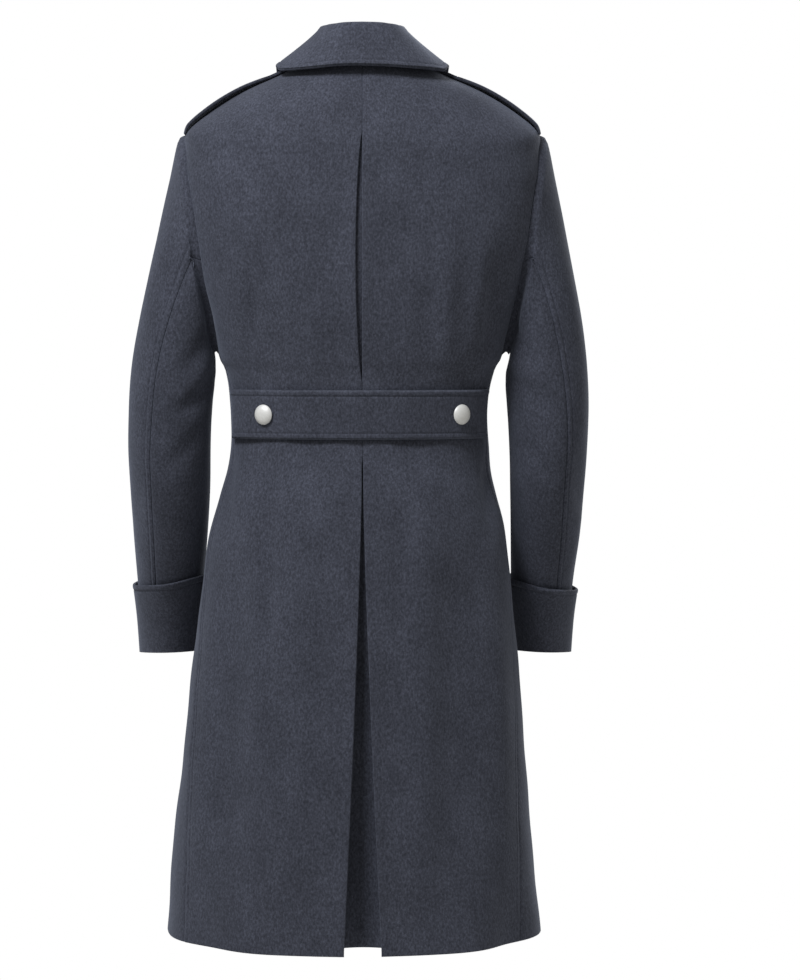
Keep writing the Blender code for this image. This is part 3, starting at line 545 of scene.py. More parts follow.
def add_stitches(name, paths, outs):
    """Lock stitches along paths on the cloth: each is a six-sided lozenge, thick in its middle."""
    turns = np.arange(STITCH_SIDES) / STITCH_SIDES * 2 * math.pi
    corners = len(STITCH_SECTIONS) * STITCH_SIDES
    points, faces, count = [], [], 0
    for path, out in zip(paths, outs):
        run = run_length(path)
        starts = np.arange(STITCH_SPACE, run[-1] - STITCH_LENGTH, STITCH_LENGTH + STITCH_SPACE)

        def at(place, values):
            """The values of the path at a place along it."""
            return np.stack([np.interp(place, run, values[:, axis]) for axis in range(3)], -1)

        up = unit(at(starts + STITCH_LENGTH / 2, out))
        head = at(starts, path) - up * STITCH_SUNK
        tail = at(starts + STITCH_LENGTH, path) - up * STITCH_SUNK
        side = unit(np.cross(unit(tail - head), up))
        ring = np.cos(turns)[None, :, None] * side[:, None] + np.sin(turns)[None, :, None] * up[:, None]
        solid = np.stack([(head + (tail - head) * share)[:, None] + ring * STITCH_RADIUS * thick
                          for share, thick in STITCH_SECTIONS], axis=1)
        points.append(solid.reshape(-1, 3))
        base = count + np.arange(len(starts))[:, None] * corners
        first = np.arange(corners - STITCH_SIDES)
        after = first - first % STITCH_SIDES + (first + 1) % STITCH_SIDES
        quads = np.stack((first, after, after + STITCH_SIDES, first + STITCH_SIDES), -1).reshape(-1)
        faces.extend((base + quads).reshape(-1, 4).tolist())
        faces.extend((base + np.arange(STITCH_SIDES)[::-1]).tolist())
        faces.extend((base + np.arange(corners - STITCH_SIDES, corners)).tolist())
        count += len(starts) * corners
    add_piece(name, new_mesh(name, np.concatenate(points), faces), thread)


SIDES = ((1, "left"), (-1, "right"))
NEAR_STITCH = (0.0, 0.0012, 0.0030, 0.0052, 0.0064, 0.0072, 0.0080, 0.0088, 0.0096, 0.0120)
NEAR_TOP = (0.0, 0.0012, 0.0030)
NEAR_HEM = (0.0, 0.0012, 0.0028, 0.0050)
STITCH_COLUMN = NEAR_STITCH.index(0.0080)
CENTRE_STITCH_COLUMN = NEAR_STITCH.index(0.0052)
BACK_COLUMNS = 44
SEAM_DIP = 0.0009
SLIT_LIFT = 0.0014
PLEAT_LIFT = 0.0016
ARM_PRESS = 0.0012
ARM_PRESS_TOP = -0.12
ARM_PRESS_BOTTOM = -0.376
SIDE_STITCH_TOP = -0.52
CENTRE_STITCH_TOP = -0.01
back_rows = panel_rows(40.0, NEAR_TOP, NEAR_HEM)


def topstitch(distance, at=0.008, deep=0.00055, puff=0.0004):
    """Relief of a stitched edge: a groove at the stitches and a soft roll between them and the edge."""
    return puff * bell(distance - at / 2, at * 0.30) - deep * bell(distance - at, 0.0009)


def seam_dip(distance):
    """Relief beside a sewn seam: the cloth rolls down into the seam line."""
    return -SEAM_DIP * bell(distance, 0.0017)


def skirt_fall(level):
    """How far down the skirt's pleat a level is: nought at its top, one at the hem."""
    return np.clip((SKIRT_PLEAT_TOP - level) / (SKIRT_PLEAT_TOP + HEM_LENGTH), 0.0, 1.0)


# The backs part at the midline: a seam above, a slit that bows open on one side, and a pleat that spreads.
back_level = torso_value(back_rows, "back_z")
slit = np.clip((UPPER_PLEAT_TOP - back_level) / (UPPER_PLEAT_TOP - UPPER_PLEAT_BOTTOM), 0.0, 1.0)
slit_bow = UPPER_PLEAT_GAP * np.sin(math.pi * slit) ** 0.6
fall = skirt_fall(back_level)
parted = PLEAT_PARTING * smooth_step((PLEAT_TACK - back_level) / 0.025) * (1.0 - fall)
pleat_spread = SKIRT_PLEAT_HALF * fall ** 1.25 + parted
pleat_lift = PLEAT_LIFT * smooth_step((SKIRT_PLEAT_TOP - back_level) / 0.2)
slit_lift = SLIT_LIFT * smooth_step((UPPER_PLEAT_TOP - back_level) / 0.05) * smooth_step(
    (back_level - UPPER_PLEAT_BOTTOM) / 0.05)
for side, word in SIDES:
    gap = SEAM / 2 + pleat_spread + (slit_bow if side == 1 else 0.0)
    start = angle_at(back_rows, gap - side * torso_value(back_rows, "sway"))
    end = torso_value(back_rows, "back_edge") - np.degrees(SEAM / 2 / torso_value(back_rows, "half_width"))
    angle = panel_angles(back_rows, start, end, BACK_COLUMNS)
    from_centre = (angle - start[:, None]) * math.radians(1.0) * torso_value(back_rows, "back")[:, None]
    from_side = (end[:, None] - angle) * degree_pace(back_rows, end)
    relief = body_relief(side * angle, back_level[:, None])
    across = torso(back_rows[:, None], side * angle)[..., 0]
    relief += crease_height(BACK_FOLDS, across, back_level[:, None], 1.0)
    closed = 1.0 - smooth_step((slit_bow + pleat_spread) / 0.0006)
    relief += seam_dip(from_centre) * closed[:, None] + seam_dip(from_side)
    relief += (slit_lift + pleat_lift)[:, None] * bell(from_centre - 0.002, 0.009)
    beside_arm = smooth_step((ARM_PRESS_TOP - back_level) / 0.08) * smooth_step(
        (back_level - ARM_PRESS_BOTTOM) / 0.03)
    relief -= ARM_PRESS * beside_arm[:, None] * bell(from_side, 0.012)
    below_waist = smooth_step((-0.50 - back_level) / 0.06)[:, None]
    relief += topstitch(from_side) * below_waist * (1.0 if side == 1 else 0.5)
    if side == -1:
        above_slit = smooth_step((back_level - UPPER_PLEAT_TOP + 0.02) / 0.02)[:, None]
        relief += topstitch(from_centre, at=0.0045, puff=0.0002) * above_slit
        angle, relief = -angle[:, ::-1], relief[:, ::-1]
    out = torso_out(back_rows[:, None], angle)
    outer = torso(back_rows[:, None], angle) + out * relief[..., None]
    piece = add_cloth(f"back_{word}_panel", outer, out, CLOTH, wool_body, f"back_{word}")
    if side == 1:
        chosen, column = back_level < SIDE_STITCH_TOP, -1 - STITCH_COLUMN
    else:
        chosen = (back_level > UPPER_PLEAT_TOP) & (back_level < CENTRE_STITCH_TOP)
        column = -1 - CENTRE_STITCH_COLUMN
    add_stitches(f"back_{word}_stitches", [outer[chosen, column]], [out[chosen, column]])

# The pleat underlays: single strips of the same wool behind the open pleats, sewn to the backs' hidden edges.
# The upper one lies flat; the skirt's one is a gusset that folds in deep towards the hem.
# The underlays take a darker copy of the wool: painted shade for the recess behind the open pleats.
wool_shade = melton("wool_melton_painted_shade_in_the_pleats", 0.94)
UPPER_UNDERLAY_HALF = 0.034
SKIRT_UNDERLAY_TOP = -0.485
SKIRT_UNDERLAY_BOTTOM = -1.0985
SKIRT_UNDERLAY_HALF = 0.032
SKIRT_UNDERLAY_FLARE = 0.030
rows = torso_row_at(np.linspace(UPPER_PLEAT_TOP + 0.012, UPPER_PLEAT_BOTTOM - 0.006, 60))[:, None]
across = np.linspace(-UPPER_UNDERLAY_HALF, UPPER_UNDERLAY_HALF, 16)[None, :]
angle = angle_at(rows, across - torso_value(rows, "sway"))
out = torso_out(rows, angle)
outer = torso(rows, angle) + out * (body_relief(angle, torso_value(rows, "back_z")) - CLOTH - LAY)[..., None]
piece = add_cloth("upper_pleat_strip", outer, out, CLOTH, wool_shade, "upper_pleat_underlay")

levels = np.linspace(SKIRT_UNDERLAY_TOP, SKIRT_UNDERLAY_BOTTOM, 120)
rows = torso_row_at(levels)[:, None]
fall = skirt_fall(levels)[:, None]
share = np.linspace(-1.0, 1.0, 33)[None, :]
across = share * (SKIRT_UNDERLAY_HALF + SKIRT_UNDERLAY_FLARE * fall)
angle = angle_at(rows, across - torso_value(rows, "sway"))
well = np.cos(share * math.pi / 2) ** 1.5
depth = CLOTH + UNDERLAY_GAP + SKIRT_PLEAT_DEPTH * fall ** 1.2 * well
relief = np.minimum(body_relief(angle, levels[:, None]), 0.0)
outer = torso(rows, angle) + torso_out(rows, angle) * (relief - depth)[..., None]
piece = add_cloth("skirt_pleat_gusset", outer, grid_out(outer), CLOTH, wool_shade,
                  "skirt_pleat_underlay")

# The two fronts: double-breasted panels of the same wool, sewn to the backs at the shoulder and side seams.
# The wearer's left one laps over the right one and steps up where it lies on it.
FRONT_COLUMNS = 60
LAP_STEP_FROM = 0.016
LAP_STEP_TO = 0.002
LAP_SEAM_CLEAR = 8.0
LAP_STEP_SPREAD = 2.0
LAP_EASE = 12.0
rows = panel_rows(140.0, NEAR_TOP, NEAR_HEM)
level = torso_value(rows, "front_z")[:, None]
start = torso_value(rows, "front_edge") + np.degrees(SEAM / 2 / torso_value(rows, "half_width"))
lap = torso_value(rows, "lap")
end = 360.0 - angle_at(rows, lap, front=True)
for side, word in SIDES:
    angle = panel_angles(rows, start, end, FRONT_COLUMNS)
    pace = torso_value(rows, "front")[:, None] * math.radians(1.0)
    from_edge = (end[:, None] - angle) * pace
    relief = body_relief(side * angle, level) + seam_dip((angle - start[:, None]) * pace)
    if side == 1:
        rise = np.maximum(angle_at(rows, lap + LAP_STEP_FROM, front=True), start + LAP_SEAM_CLEAR)[:, None]
        flat = np.maximum(angle_at(rows, lap + LAP_STEP_TO, front=True)[:, None], rise + LAP_STEP_SPREAD)
        stitched = topstitch(from_edge, deep=0.0009, puff=0.0008)
        relief += (CLOTH + LAY) * smooth_step((angle - rise) / (flat - rise)) + stitched
    else:
        relief = relief * smooth_step((angle_at(rows, lap, front=True)[:, None] - angle) / LAP_EASE)
        angle, relief = -angle[:, ::-1], relief[:, ::-1]
    out = torso_out(rows[:, None], angle)
    outer = torso(rows[:, None], angle) + out * relief[..., None]
    piece = add_cloth(f"front_{word}_panel", outer, out, CLOTH, wool_body, f"front_{word}")
    if side == 1:
        column = -1 - STITCH_COLUMN
        add_stitches("front_edge_stitches", [outer[2:, column]], [out[2:, column]])

# The half belt: two layers of the wool across the back waist, caught in the side seams, topstitched 8 mm in
# from its long edges and held by a button near each end.
# The half belt and the cuffs take a slightly darker copy of the wool, as painted shade.
wool_trim = melton("wool_melton_painted_shade_belt_and_cuffs", 0.96)
BELT_TOP = -0.412
BELT_BOTTOM = -0.475
BELT_GAP = 0.0014
BELT_END = 0.4
BELT_SINK = 0.0006
BELT_ROW = 16.0
BELT_BULGE = 0.0012
BELT_WAVE = 0.0006
belt_levels = spaced(BELT_TOP - BELT_BOTTOM, NEAR_STITCH, NEAR_STITCH, 0.003)
rows = torso_row_at(BELT_TOP - belt_levels)[:, None]
reach = float(torso_value(BELT_ROW, "back_edge")) - BELT_END
angle = np.linspace(-reach, reach, 150)[None, :]
out = torso_out(rows, angle)
ends = smooth_step((reach - np.abs(angle)) / 6.0)
from_top = belt_levels[:, None]
from_bottom = BELT_TOP - BELT_BOTTOM - from_top
bulge = BELT_BULGE * np.sin(math.pi * from_top / (BELT_TOP - BELT_BOTTOM)) ** 0.7
wave = BELT_WAVE * np.sin(angle * 0.19 + 0.8) * ends
stitched = sum(topstitch(distance, deep=0.0008, puff=0.0006) for distance in (from_top, from_bottom))
relief = stitched + (bulge + wave) * ends
caught = smooth_step((reach - np.abs(angle)) / 3.5) + 0.0 * from_top
stand = (BELT_GAP + LINED + BELT_SINK) * caught - BELT_SINK
outer = torso(rows, angle) + out * (stand + relief)[..., None]
piece = add_cloth("half_belt_band", outer, grid_out(outer), LINED - 0.0018 * (1.0 - caught), wool_trim,
                  "half_belt", edge=0.0014)
stitch_rows = [STITCH_COLUMN, -1 - STITCH_COLUMN]
add_stitches("half_belt_stitches", outer[stitch_rows], out[stitch_rows])

# The collar: a stand sewn to the neck seam and a deep leaf turned down over it, in two layers of the wool
# with a soft rolled fold, topstitched along the leaf's edge, with a point on each front.
# Columns: angle round the neck, x, y and z of the fold's crest, x, y and z of the leaf's edge.
COLLAR_ROWS = np.array((
    (0.0, 0.000, 0.0690, 0.0420, 0.000, 0.0945, -0.0130),
    (20.0, 0.0210, 0.0665, 0.0415, 0.035, 0.0925, -0.0135),
    (40.0, 0.0390, 0.0545, 0.0400, 0.069, 0.0820, -0.0155),
    (60.0, 0.0505, 0.0340, 0.0385, 0.101, 0.0565, -0.0170),
    (80.0, 0.0550, 0.0110, 0.0350, 0.1085, 0.0250, -0.0090),
    (100.0, 0.0555, -0.0120, 0.0285, 0.1095, -0.0120, -0.0090),
    (120.0, 0.0525, -0.0370, 0.0170, 0.1060, -0.0520, -0.0330),
    (140.0, 0.0430, -0.0600, 0.0000, 0.0980, -0.0870, -0.0640),
    (160.0, 0.0250, -0.0780, -0.0180, 0.0800, -0.1080, -0.0980),
    (176.0, 0.0060, -0.0850, -0.0270, 0.0560, -0.1220, -0.1290),
))
COLLAR_ROLL = 0.0052
STAND_INSET = 0.0010
STAND_LIFT = 0.0014


def collar_controls(angle):
    """Neck side of the stand, the roll of the fold and the top side of the leaf, round the neck."""
    places = np.interp(np.abs(angle), COLLAR_ROWS[:, 0], np.arange(len(COLLAR_ROWS)))
    values = np.moveaxis(along(COLLAR_ROWS, places), -1, 0)[1:]
    crest = np.stack((values[0] * np.sign(angle), values[1], values[2]), -1)
    leaf = np.stack((values[3] * np.sign(angle), values[4], values[5]), -1)
    seam = torso(0.0, angle)
    seam_out = unit(seam * np.array((1.0, 1.0, 0.0)))
    lift = np.array((0.0, 0.0, 1.0))
    start = seam - seam_out * (LINED + STAND_INSET) + lift * STAND_LIFT
    level_way = (leaf - crest) * np.array((1.0, 1.0, 0.0))
    away = unit(np.where(np.abs(level_way) > 0.0, level_way, 1e-6))
    rise = crest - away * COLLAR_ROLL - lift * COLLAR_ROLL * 1.3
    fall = crest + away * COLLAR_ROLL - lift * COLLAR_ROLL * 1.1
    middle = (start + rise) / 2 - seam_out * 0.001
    slope = fall + (leaf - fall) * 0.5 - lift * 0.0005
    return np.stack((start, middle, rise, crest, fall, slope, leaf))


COLLAR_END = COLLAR_ROWS[-1, 0]
COLLAR_RIPPLE = 0.0007
angle = np.linspace(-COLLAR_END, COLLAR_END, 221)
controls = collar_controls(angle)
places = np.linspace(0.0, 6.0, 400)
fine = np.stack([along(controls[:, number], places) for number in range(len(angle))], axis=1)
run = run_length(fine)
share = np.linspace(0.0, 1.0, 40)
inset = np.array(NEAR_STITCH)[::-1]
outer = np.empty((len(share) + len(inset) - 1, len(angle), 3))
from_leaf = np.empty(outer.shape[:2])
for number in range(len(angle)):
    length = run[-1, number]
    targets = np.concatenate((share[:-1] * (length - inset[0]), length - inset))
    from_leaf[:, number] = length - targets
    for axis in range(3):
        outer[:, number, axis] = np.interp(targets, run[:, number], fine[:, number, axis])
out = grid_out(outer)
ripple = COLLAR_RIPPLE * np.sin(angle * 0.11 + 0.7) * bell(from_leaf, 0.03)
outer = outer + out * (topstitch(from_leaf) + ripple)[..., None]
piece = add_cloth("collar_leaf_and_stand", outer, grid_out(outer), LINED, wool_body, "collar",
                  edge=0.0014)
add_stitches("collar_stitches", [outer[-1 - STITCH_COLUMN]], [out[-1 - STITCH_COLUMN]])

# The shoulder straps: two layers of the wool, caught in the sleeve head seam, that arch up off the shoulder a
# little and run in under the collar, topstitched along both sides.
# The straps take a much darker copy of the wool: painted shade for their shadowed edge and the gap under
# them.
strap_wool_painted_shade = melton("wool_melton_strap_painted_shade", 0.70)
STRAP_HALF_WIDTH = 0.025
STRAP_INNER_ROW = 0.80
STRAP_OUTER_ROW = 4.14
STRAP_ARCH = 0.0036
STRAP_END_THICKNESS = 0.0016
rows = np.linspace(STRAP_INNER_ROW, STRAP_OUTER_ROW, 60)[:, None]
across = (spaced(2 * STRAP_HALF_WIDTH, NEAR_STITCH, NEAR_STITCH, 0.003) - STRAP_HALF_WIDTH)[None, :]
angle = np.degrees(np.arctan2(torso_value(rows, "half_width"), -across))
out = torso_out(rows, angle)
share = (rows - STRAP_INNER_ROW) / (STRAP_OUTER_ROW - STRAP_INNER_ROW)
thin = STRAP_END_THICKNESS + (LINED - STRAP_END_THICKNESS) * smooth_step((1.0 - share) / 0.12) + 0.0 * across
stand = LAY + thin + STRAP_ARCH * np.sin(math.pi * np.clip((share - 0.15) / 0.85, 0.0, 1.0)) ** 0.8
relief = topstitch(STRAP_HALF_WIDTH - np.abs(across), puff=0.0003)
outer = torso(rows, angle) + out * (stand + relief)[..., None]
for side, word in SIDES:
    points, ways = (outer, out) if side == 1 else (mirrored(outer), mirrored(out))
    piece = add_cloth(f"strap_{word}", points, ways, thin, strap_wool_painted_shade, f"shoulder_strap_{word}",
                      edge=0.0012)
    columns = (STITCH_COLUMN, -1 - STITCH_COLUMN)
    add_stitches(f"strap_{word}_stitches", [points[:, column] for column in columns],
                 [ways[:, column] for column in columns])

# The sleeves: each is a top sleeve and an under sleeve of the wool, set into the armhole and joined by a seam
# down the back of the arm, topstitched on one side, and a plain one along its front.
SLEEVE_COLUMNS = ("top_x", "top_z", "under_x", "under_z", "mid_y", "half_depth", "tilt", "back_seam",
                  "front_seam", "left_top", "left_under")
SLEEVE_ROWS = np.array((
    (0.2200, -0.092, 0.1770, -0.374, -0.010, 0.0780, 0.0, 100.0, 240.0, 0.0000, 0.0000),
    (0.2285, -0.099, 0.1830, -0.3730, -0.009, 0.0770, 0.0, 97.0, 239.0, 0.0000, 0.0000),
    (0.2348, -0.116, 0.1850, -0.376, -0.008, 0.0760, 0.0, 92.0, 238.0, 0.0000, 0.0002),
    (0.2430, -0.155, 0.1840, -0.380, -0.007, 0.0740, 0.0, 86.0, 236.0, 0.0000, 0.0010),
    (0.2543, -0.208, 0.1822, -0.386, -0.005, 0.0710, 0.0, 80.0, 234.0, 0.0000, 0.0025),
    (0.2657, -0.268, 0.1805, -0.394, -0.002, 0.0680, 0.0, 75.0, 232.0, 0.0020, 0.0040),
    (0.2760, -0.330, 0.1802, -0.408, 0.000, 0.0655, 0.0, 71.0, 230.0, 0.0055, 0.0055),
    (0.2825, -0.385, 0.1820, -0.432, 0.001, 0.0640, 0.0, 68.0, 228.0, 0.0076, 0.0062),
    (0.2853, -0.440, 0.1842, -0.462, 0.000, 0.0630, 3.0, 66.0, 226.0, 0.0085, 0.0062),
    (0.2835, -0.492, 0.1858, -0.500, -0.006, 0.0620, 6.0, 65.0, 225.0, 0.0120, 0.0062),
    (0.2798, -0.545, 0.1865, -0.543, -0.021, 0.0615, 8.0, 65.0, 225.0, 0.0139, 0.0068),
    (0.2758, -0.600, 0.1880, -0.596, -0.042, 0.0608, 6.0, 65.0, 225.0, 0.0146, 0.0085),
    (0.2700, -0.655, 0.1900, -0.651, -0.066, 0.0600, 2.0, 65.0, 225.0, 0.0172, 0.0110),
    (0.2665, -0.706, 0.1920, -0.702, -0.089, 0.0590, -2.0, 65.0, 225.0, 0.0182, 0.0120),
    (0.2650, -0.755, 0.1935, -0.752, -0.109, 0.0585, -4.0, 65.0, 225.0, 0.0184, 0.0130),
))
ARMHOLE_BOTTOM_ROW = 11.0
ARMHOLE_BOTTOM_ANGLE = 84.0
ARMHOLE_SEAM = -0.0002
SLEEVE_SEAM = -0.0003
SLEEVE_RADIUS = 0.055
SLEEVE_DEGREE = 0.058 * math.radians(1.0)
SLEEVE_WAVE = 0.0005
NEAR_EDGE = (0.0, 0.0012, 0.0026, 0.0042, 0.0066)
ARMHOLE_TOP_ROW = 4.0
HEAD_ROLL = 0.0012
ALLOWANCE = ((0.0056, 0.0034), (0.0038, 0.0008))
SLEEVE_BLEND_ROWS = 3.0
SLEEVE_END_ROW = len(SLEEVE_ROWS) - 1.0

# Soft creases of a sleeve, with the same columns as the body's, but turns round the arm from its outer side
# through the back, where one degree is CREASE_DEGREE long.
CREASE_DEGREE = 0.00105
LEFT_SLEEVE_CREASES = np.array((
    (150.0, -0.330, 95.0, -0.400, 0.012, -0.0037),
    (160.0, -0.400, 90.0, -0.455, 0.013, -0.0041),
    (155.0, -0.370, 100.0, -0.430, 0.012, 0.0027),
    (150.0, -0.460, 80.0, -0.520, 0.014, -0.0034),
    (40.0, -0.200, 30.0, -0.330, 0.022, 0.0027),
    (110.0, -0.220, 70.0, -0.300, 0.016, -0.0031),
    (50.0, -0.500, 30.0, -0.600, 0.020, -0.0027),
    (260.0, -0.420, 320.0, -0.470, 0.012, -0.0041),
    (250.0, -0.460, 310.0, -0.510, 0.012, 0.0031),
    (255.0, -0.500, 300.0, -0.550, 0.012, -0.0034),
    (285.0, -0.180, 300.0, -0.330, 0.020, -0.0031),
))
RIGHT_SLEEVE_CREASES = np.array((
    (155.0, -0.320, 100.0, -0.390, 0.012, -0.0041),
    (150.0, -0.390, 85.0, -0.445, 0.013, -0.0037),
    (160.0, -0.355, 105.0, -0.420, 0.012, 0.0027),
    (145.0, -0.470, 75.0, -0.530, 0.014, -0.0037),
    (45.0, -0.220, 35.0, -0.360, 0.022, 0.0024),
    (105.0, -0.230, 65.0, -0.320, 0.016, -0.0034),
    (45.0, -0.490, 25.0, -0.580, 0.020, -0.0031),
    (262.0, -0.410, 322.0, -0.460, 0.012, -0.0037),
    (252.0, -0.450, 312.0, -0.505, 0.012, 0.0031),
    (257.0, -0.495, 302.0, -0.545, 0.012, -0.0037),
    (283.0, -0.190, 298.0, -0.340, 0.020, -0.0031),
))


def armhole(turn):
    """Points of the armhole's edge, the ways across it and out of it, and its sway, at a turn of the sleeve.

    Turn 0 is the shoulder tip, 90 the back, 180 the underarm and 270 the front.
    """
    steps = np.linspace(ARMHOLE_TOP_ROW, ARMHOLE_BOTTOM_ROW, 281)
    shoulder_way = unit(torso(ARMHOLE_TOP_ROW, 90.0) - torso(ARMHOLE_TOP_ROW - 0.1, 90.0))
    under_way = unit(torso(ARMHOLE_BOTTOM_ROW - 0.1, ARMHOLE_BOTTOM_ANGLE)
                     - torso(ARMHOLE_BOTTOM_ROW + 0.1, ARMHOLE_BOTTOM_ANGLE))
    near_top = smooth_step((steps - ARMHOLE_TOP_ROW) / 1.0)[:, None]
    near_under = smooth_step((ARMHOLE_BOTTOM_ROW - steps) / 1.2)[:, None]
    halves = []
    for column, half_degree in (("back_edge", 0.5), ("front_edge", -0.5)):
        edge = torso_value(steps, column)
        edge_way = unit(torso(steps, edge + half_degree) - torso(steps, edge - half_degree))
        mixed = shoulder_way * (1 - near_top) + edge_way * near_top
        halves.append((torso(steps, edge), unit(under_way * (1 - near_under) + mixed * near_under),
                       torso_out(steps, edge)))
    loop, way, out = (np.concatenate((back, front[-2::-1])) for back, front in zip(*halves))
    top, under = loop[0], loop[len(steps) - 1]
    axis = (top - under) / 2
    forward = (loop - (top + under) / 2) @ axis / np.dot(axis, axis)
    mid_y, half_depth = SLEEVE_ROWS[0, 4:6]
    sideways = (loop[:, 1] - mid_y) / half_depth
    turns = np.degrees(np.arctan2(sideways, forward))[:-1]
    sway = torso_value(steps, "sway")
    sway = np.interp(turn, turns, np.concatenate((sway, sway[-2:0:-1])), period=360.0)
    points, ways, outs = (
        np.stack([np.interp(turn, turns, values[:-1, axis], period=360.0) for axis in range(3)], -1)
        for values in (loop, way, out))
    return points, unit(ways), unit(outs), sway


def arm_oval(values, turn):
    """An oval through a top and an under point, as deep as the table says and tilted about its long axis."""
    top_x, top_z, under_x, under_z, mid_y, half_depth, tilt = np.moveaxis(values[..., :7], -1, 0)
    forward = np.cos(np.radians(turn))
    behind = np.sin(np.radians(turn))
    hang = np.radians(tilt)
    return np.stack(((top_x + under_x) / 2 + (top_x - under_x) / 2 * forward,
                     mid_y + behind * half_depth * np.cos(hang),
                     (top_z + under_z) / 2 + (top_z - under_z) / 2 * forward
                     - behind * half_depth * np.sin(hang)), -1)


def sleeve(row, turn):
    """Outer cloth of the left sleeve: an oval at each row, which the first rows blend into the armhole."""
    row, turn = np.broadcast_arrays(np.asarray(row, dtype=float), np.asarray(turn, dtype=float))
    edge, way = armhole(turn)[:2]
    fade = (1.0 - smooth_step(row / SLEEVE_BLEND_ROWS))[..., None]
    from_oval = edge + way * ARMHOLE_SEAM - arm_oval(SLEEVE_ROWS[0], turn)
    return arm_oval(along(SLEEVE_ROWS, row), turn) + from_oval * fade


def sleeve_out(row, turn):
    """Outward unit vectors of the left sleeve's cloth, from small steps along it."""
    down = sleeve(row + 0.02, turn) - sleeve(np.maximum(row - 0.02, 0.0), turn)
    return unit(np.cross(sleeve(row, turn - 1.0) - sleeve(row, turn + 1.0), down))


def spread_sleeve(points, row, turn):
    """The left arm hangs further out than the right one, its outer side more than its under side."""
    left_top, left_under = np.moveaxis(along(SLEEVE_ROWS, row)[..., -2:], -1, 0)
    moved = points.copy()
    moved[..., 0] += left_under + (left_top - left_under) * (0.5 + 0.5 * np.cos(np.radians(turn)))
    return moved


def sway_sleeve(points, row, turn):
    """The right sleeve, before it is mirrored, moved to where the body's sway puts its armhole."""
    moved = points.copy()
    moved[..., 0] -= 2.0 * armhole(turn)[3] * (1.0 - smooth_step(row / SLEEVE_BLEND_ROWS))
    return moved


def turned_in(turn):
    """The allowance of the sleeve's head: two rows that run in behind the body's cloth at the armhole."""
    edge, way, out, _ = armhole(turn)
    return np.stack([edge - out * deep - way * back for deep, back in ALLOWANCE])


places = np.linspace(0.0, SLEEVE_END_ROW, 900)
run = run_length(sleeve(places, 60.0))
from_armhole = spaced(run[-1], NEAR_EDGE, NEAR_HEM, 0.005)
sleeve_rows = np.interp(from_armhole, run, places)
values = along(SLEEVE_ROWS, sleeve_rows)
back_seam = values[:, SLEEVE_COLUMNS.index("back_seam")]
front_seam = values[:, SLEEVE_COLUMNS.index("front_seam")]
half_gap = math.degrees(SLEEVE_SEAM / 2 / SLEEVE_RADIUS)
# The under sleeves take a darker copy of the wool: painted shade under the arm.
under_sleeve_wool_painted_shade = melton("wool_melton_painted_shade_under_the_arm", 0.93)
# Columns: node, turns of its two seams, columns between them, wool, slot, flat size, area.
SLEEVE_PIECES = (
    ("under_sleeve", back_seam + half_gap, front_seam - half_gap, 26, under_sleeve_wool_painted_shade, "wool_trim",
     (0.19, 0.55), 0.076),
    ("top_sleeve", front_seam + half_gap, back_seam + 360.0 - half_gap, 34, wool_body, "wool_body",
     (0.24, 0.64), 0.108),
)
for node, start, end, columns, cloth, slot_name, flat_size, flat_area in SLEEVE_PIECES:
    near = np.array(NEAR_STITCH) / SLEEVE_DEGREE
    share = np.linspace(0.0, 1.0, columns + 2)[None, 1:-1]
    first = end[:, None] - near[None, :]
    last = start[:, None] + near[::-1][None, :]
    turn = np.hstack((first, first[:, -1:] + (last[:, :1] - first[:, -1:]) * share, last))
    from_back, from_front = (np.abs(half_turned(turn - seam[:, None])) * SLEEVE_DEGREE
                             for seam in (back_seam, front_seam))
    smooth = sleeve(sleeve_rows[:, None], turn)
    level = smooth[..., 2]
    ease = smooth_step(sleeve_rows / 1.5)[:, None]
    welt = seam_dip(from_back) + seam_dip(from_front)
    if node == "top_sleeve":
        welt = welt + topstitch(from_back, deep=0.0009, puff=0.0008) * ease
    over = smooth_step(np.cos(np.radians(turn)) / 0.7)
    head = HEAD_ROLL * over * bell(from_armhole - 0.002, 0.013)[:, None]
    for side, word, table in ((1, "left", LEFT_SLEEVE_CREASES), (-1, "right", RIGHT_SLEEVE_CREASES)):
        wave = SLEEVE_WAVE * np.sin(np.radians(turn) * 3.0 + level * 29.0 + side)
        relief = crease_height(table, turn % 360.0, level, CREASE_DEGREE) * ease + wave * ease + welt + head
        out = sleeve_out(sleeve_rows[:, None], turn)
        outer = np.vstack((turned_in(turn[0]), smooth + out * relief[..., None]))
        out = np.vstack((out[:1], out[:1], out))
        turns = np.vstack((turn[:1], turn[:1], turn))
        row = np.concatenate((np.zeros(2), sleeve_rows))[:, None]
        if side == 1:
            outer = spread_sleeve(outer, row, turns)
        else:
            outer, out = mirrored(sway_sleeve(outer, row, turns)), mirrored(out)
        piece = add_cloth(f"{node}_{word}_cloth", outer, grid_out(outer), CLOTH, cloth,
                          f"{node}_{word}")
        if node == "top_sleeve":
            column = STITCH_COLUMN if side == 1 else -1 - STITCH_COLUMN
            add_stitches(f"sleeve_{word}_stitches", [outer[10:, column]], [out[10:, column]])

# The cuffs: deep turn-back bands of the wool round the sleeve ends, whose upper edges stand off the sleeve,
# topstitched below that edge.
CUFF_TOP_ROW = 12.16
CUFF_DROP = 0.24
CUFF_LOOSE = 0.0004
CUFF_STAND = LAY + CUFF_LOOSE + CLOTH
CUFF_FLARE = 0.0022
CUFF_RIGHT_LOWER = 0.13
CUFF_DEPTH = 0.100
CUFF_RIPPLE = 0.0009
share = spaced(1.0, np.array(NEAR_STITCH) / CUFF_DEPTH, np.array(NEAR_HEM) / CUFF_DEPTH, 0.045)[:, None]
turn = np.linspace(360.0, 0.0, 121)[None, :-1]
outer_side = 0.5 + 0.5 * np.cos(np.radians(turn))
ripple = CUFF_RIPPLE * np.sin(np.radians(turn) * 5.0 + 0.4) * (1.0 - share)
relief = CUFF_STAND + CUFF_FLARE * (1.0 - share) ** 2.0 + topstitch(share * CUFF_DEPTH, puff=0.0005) + ripple
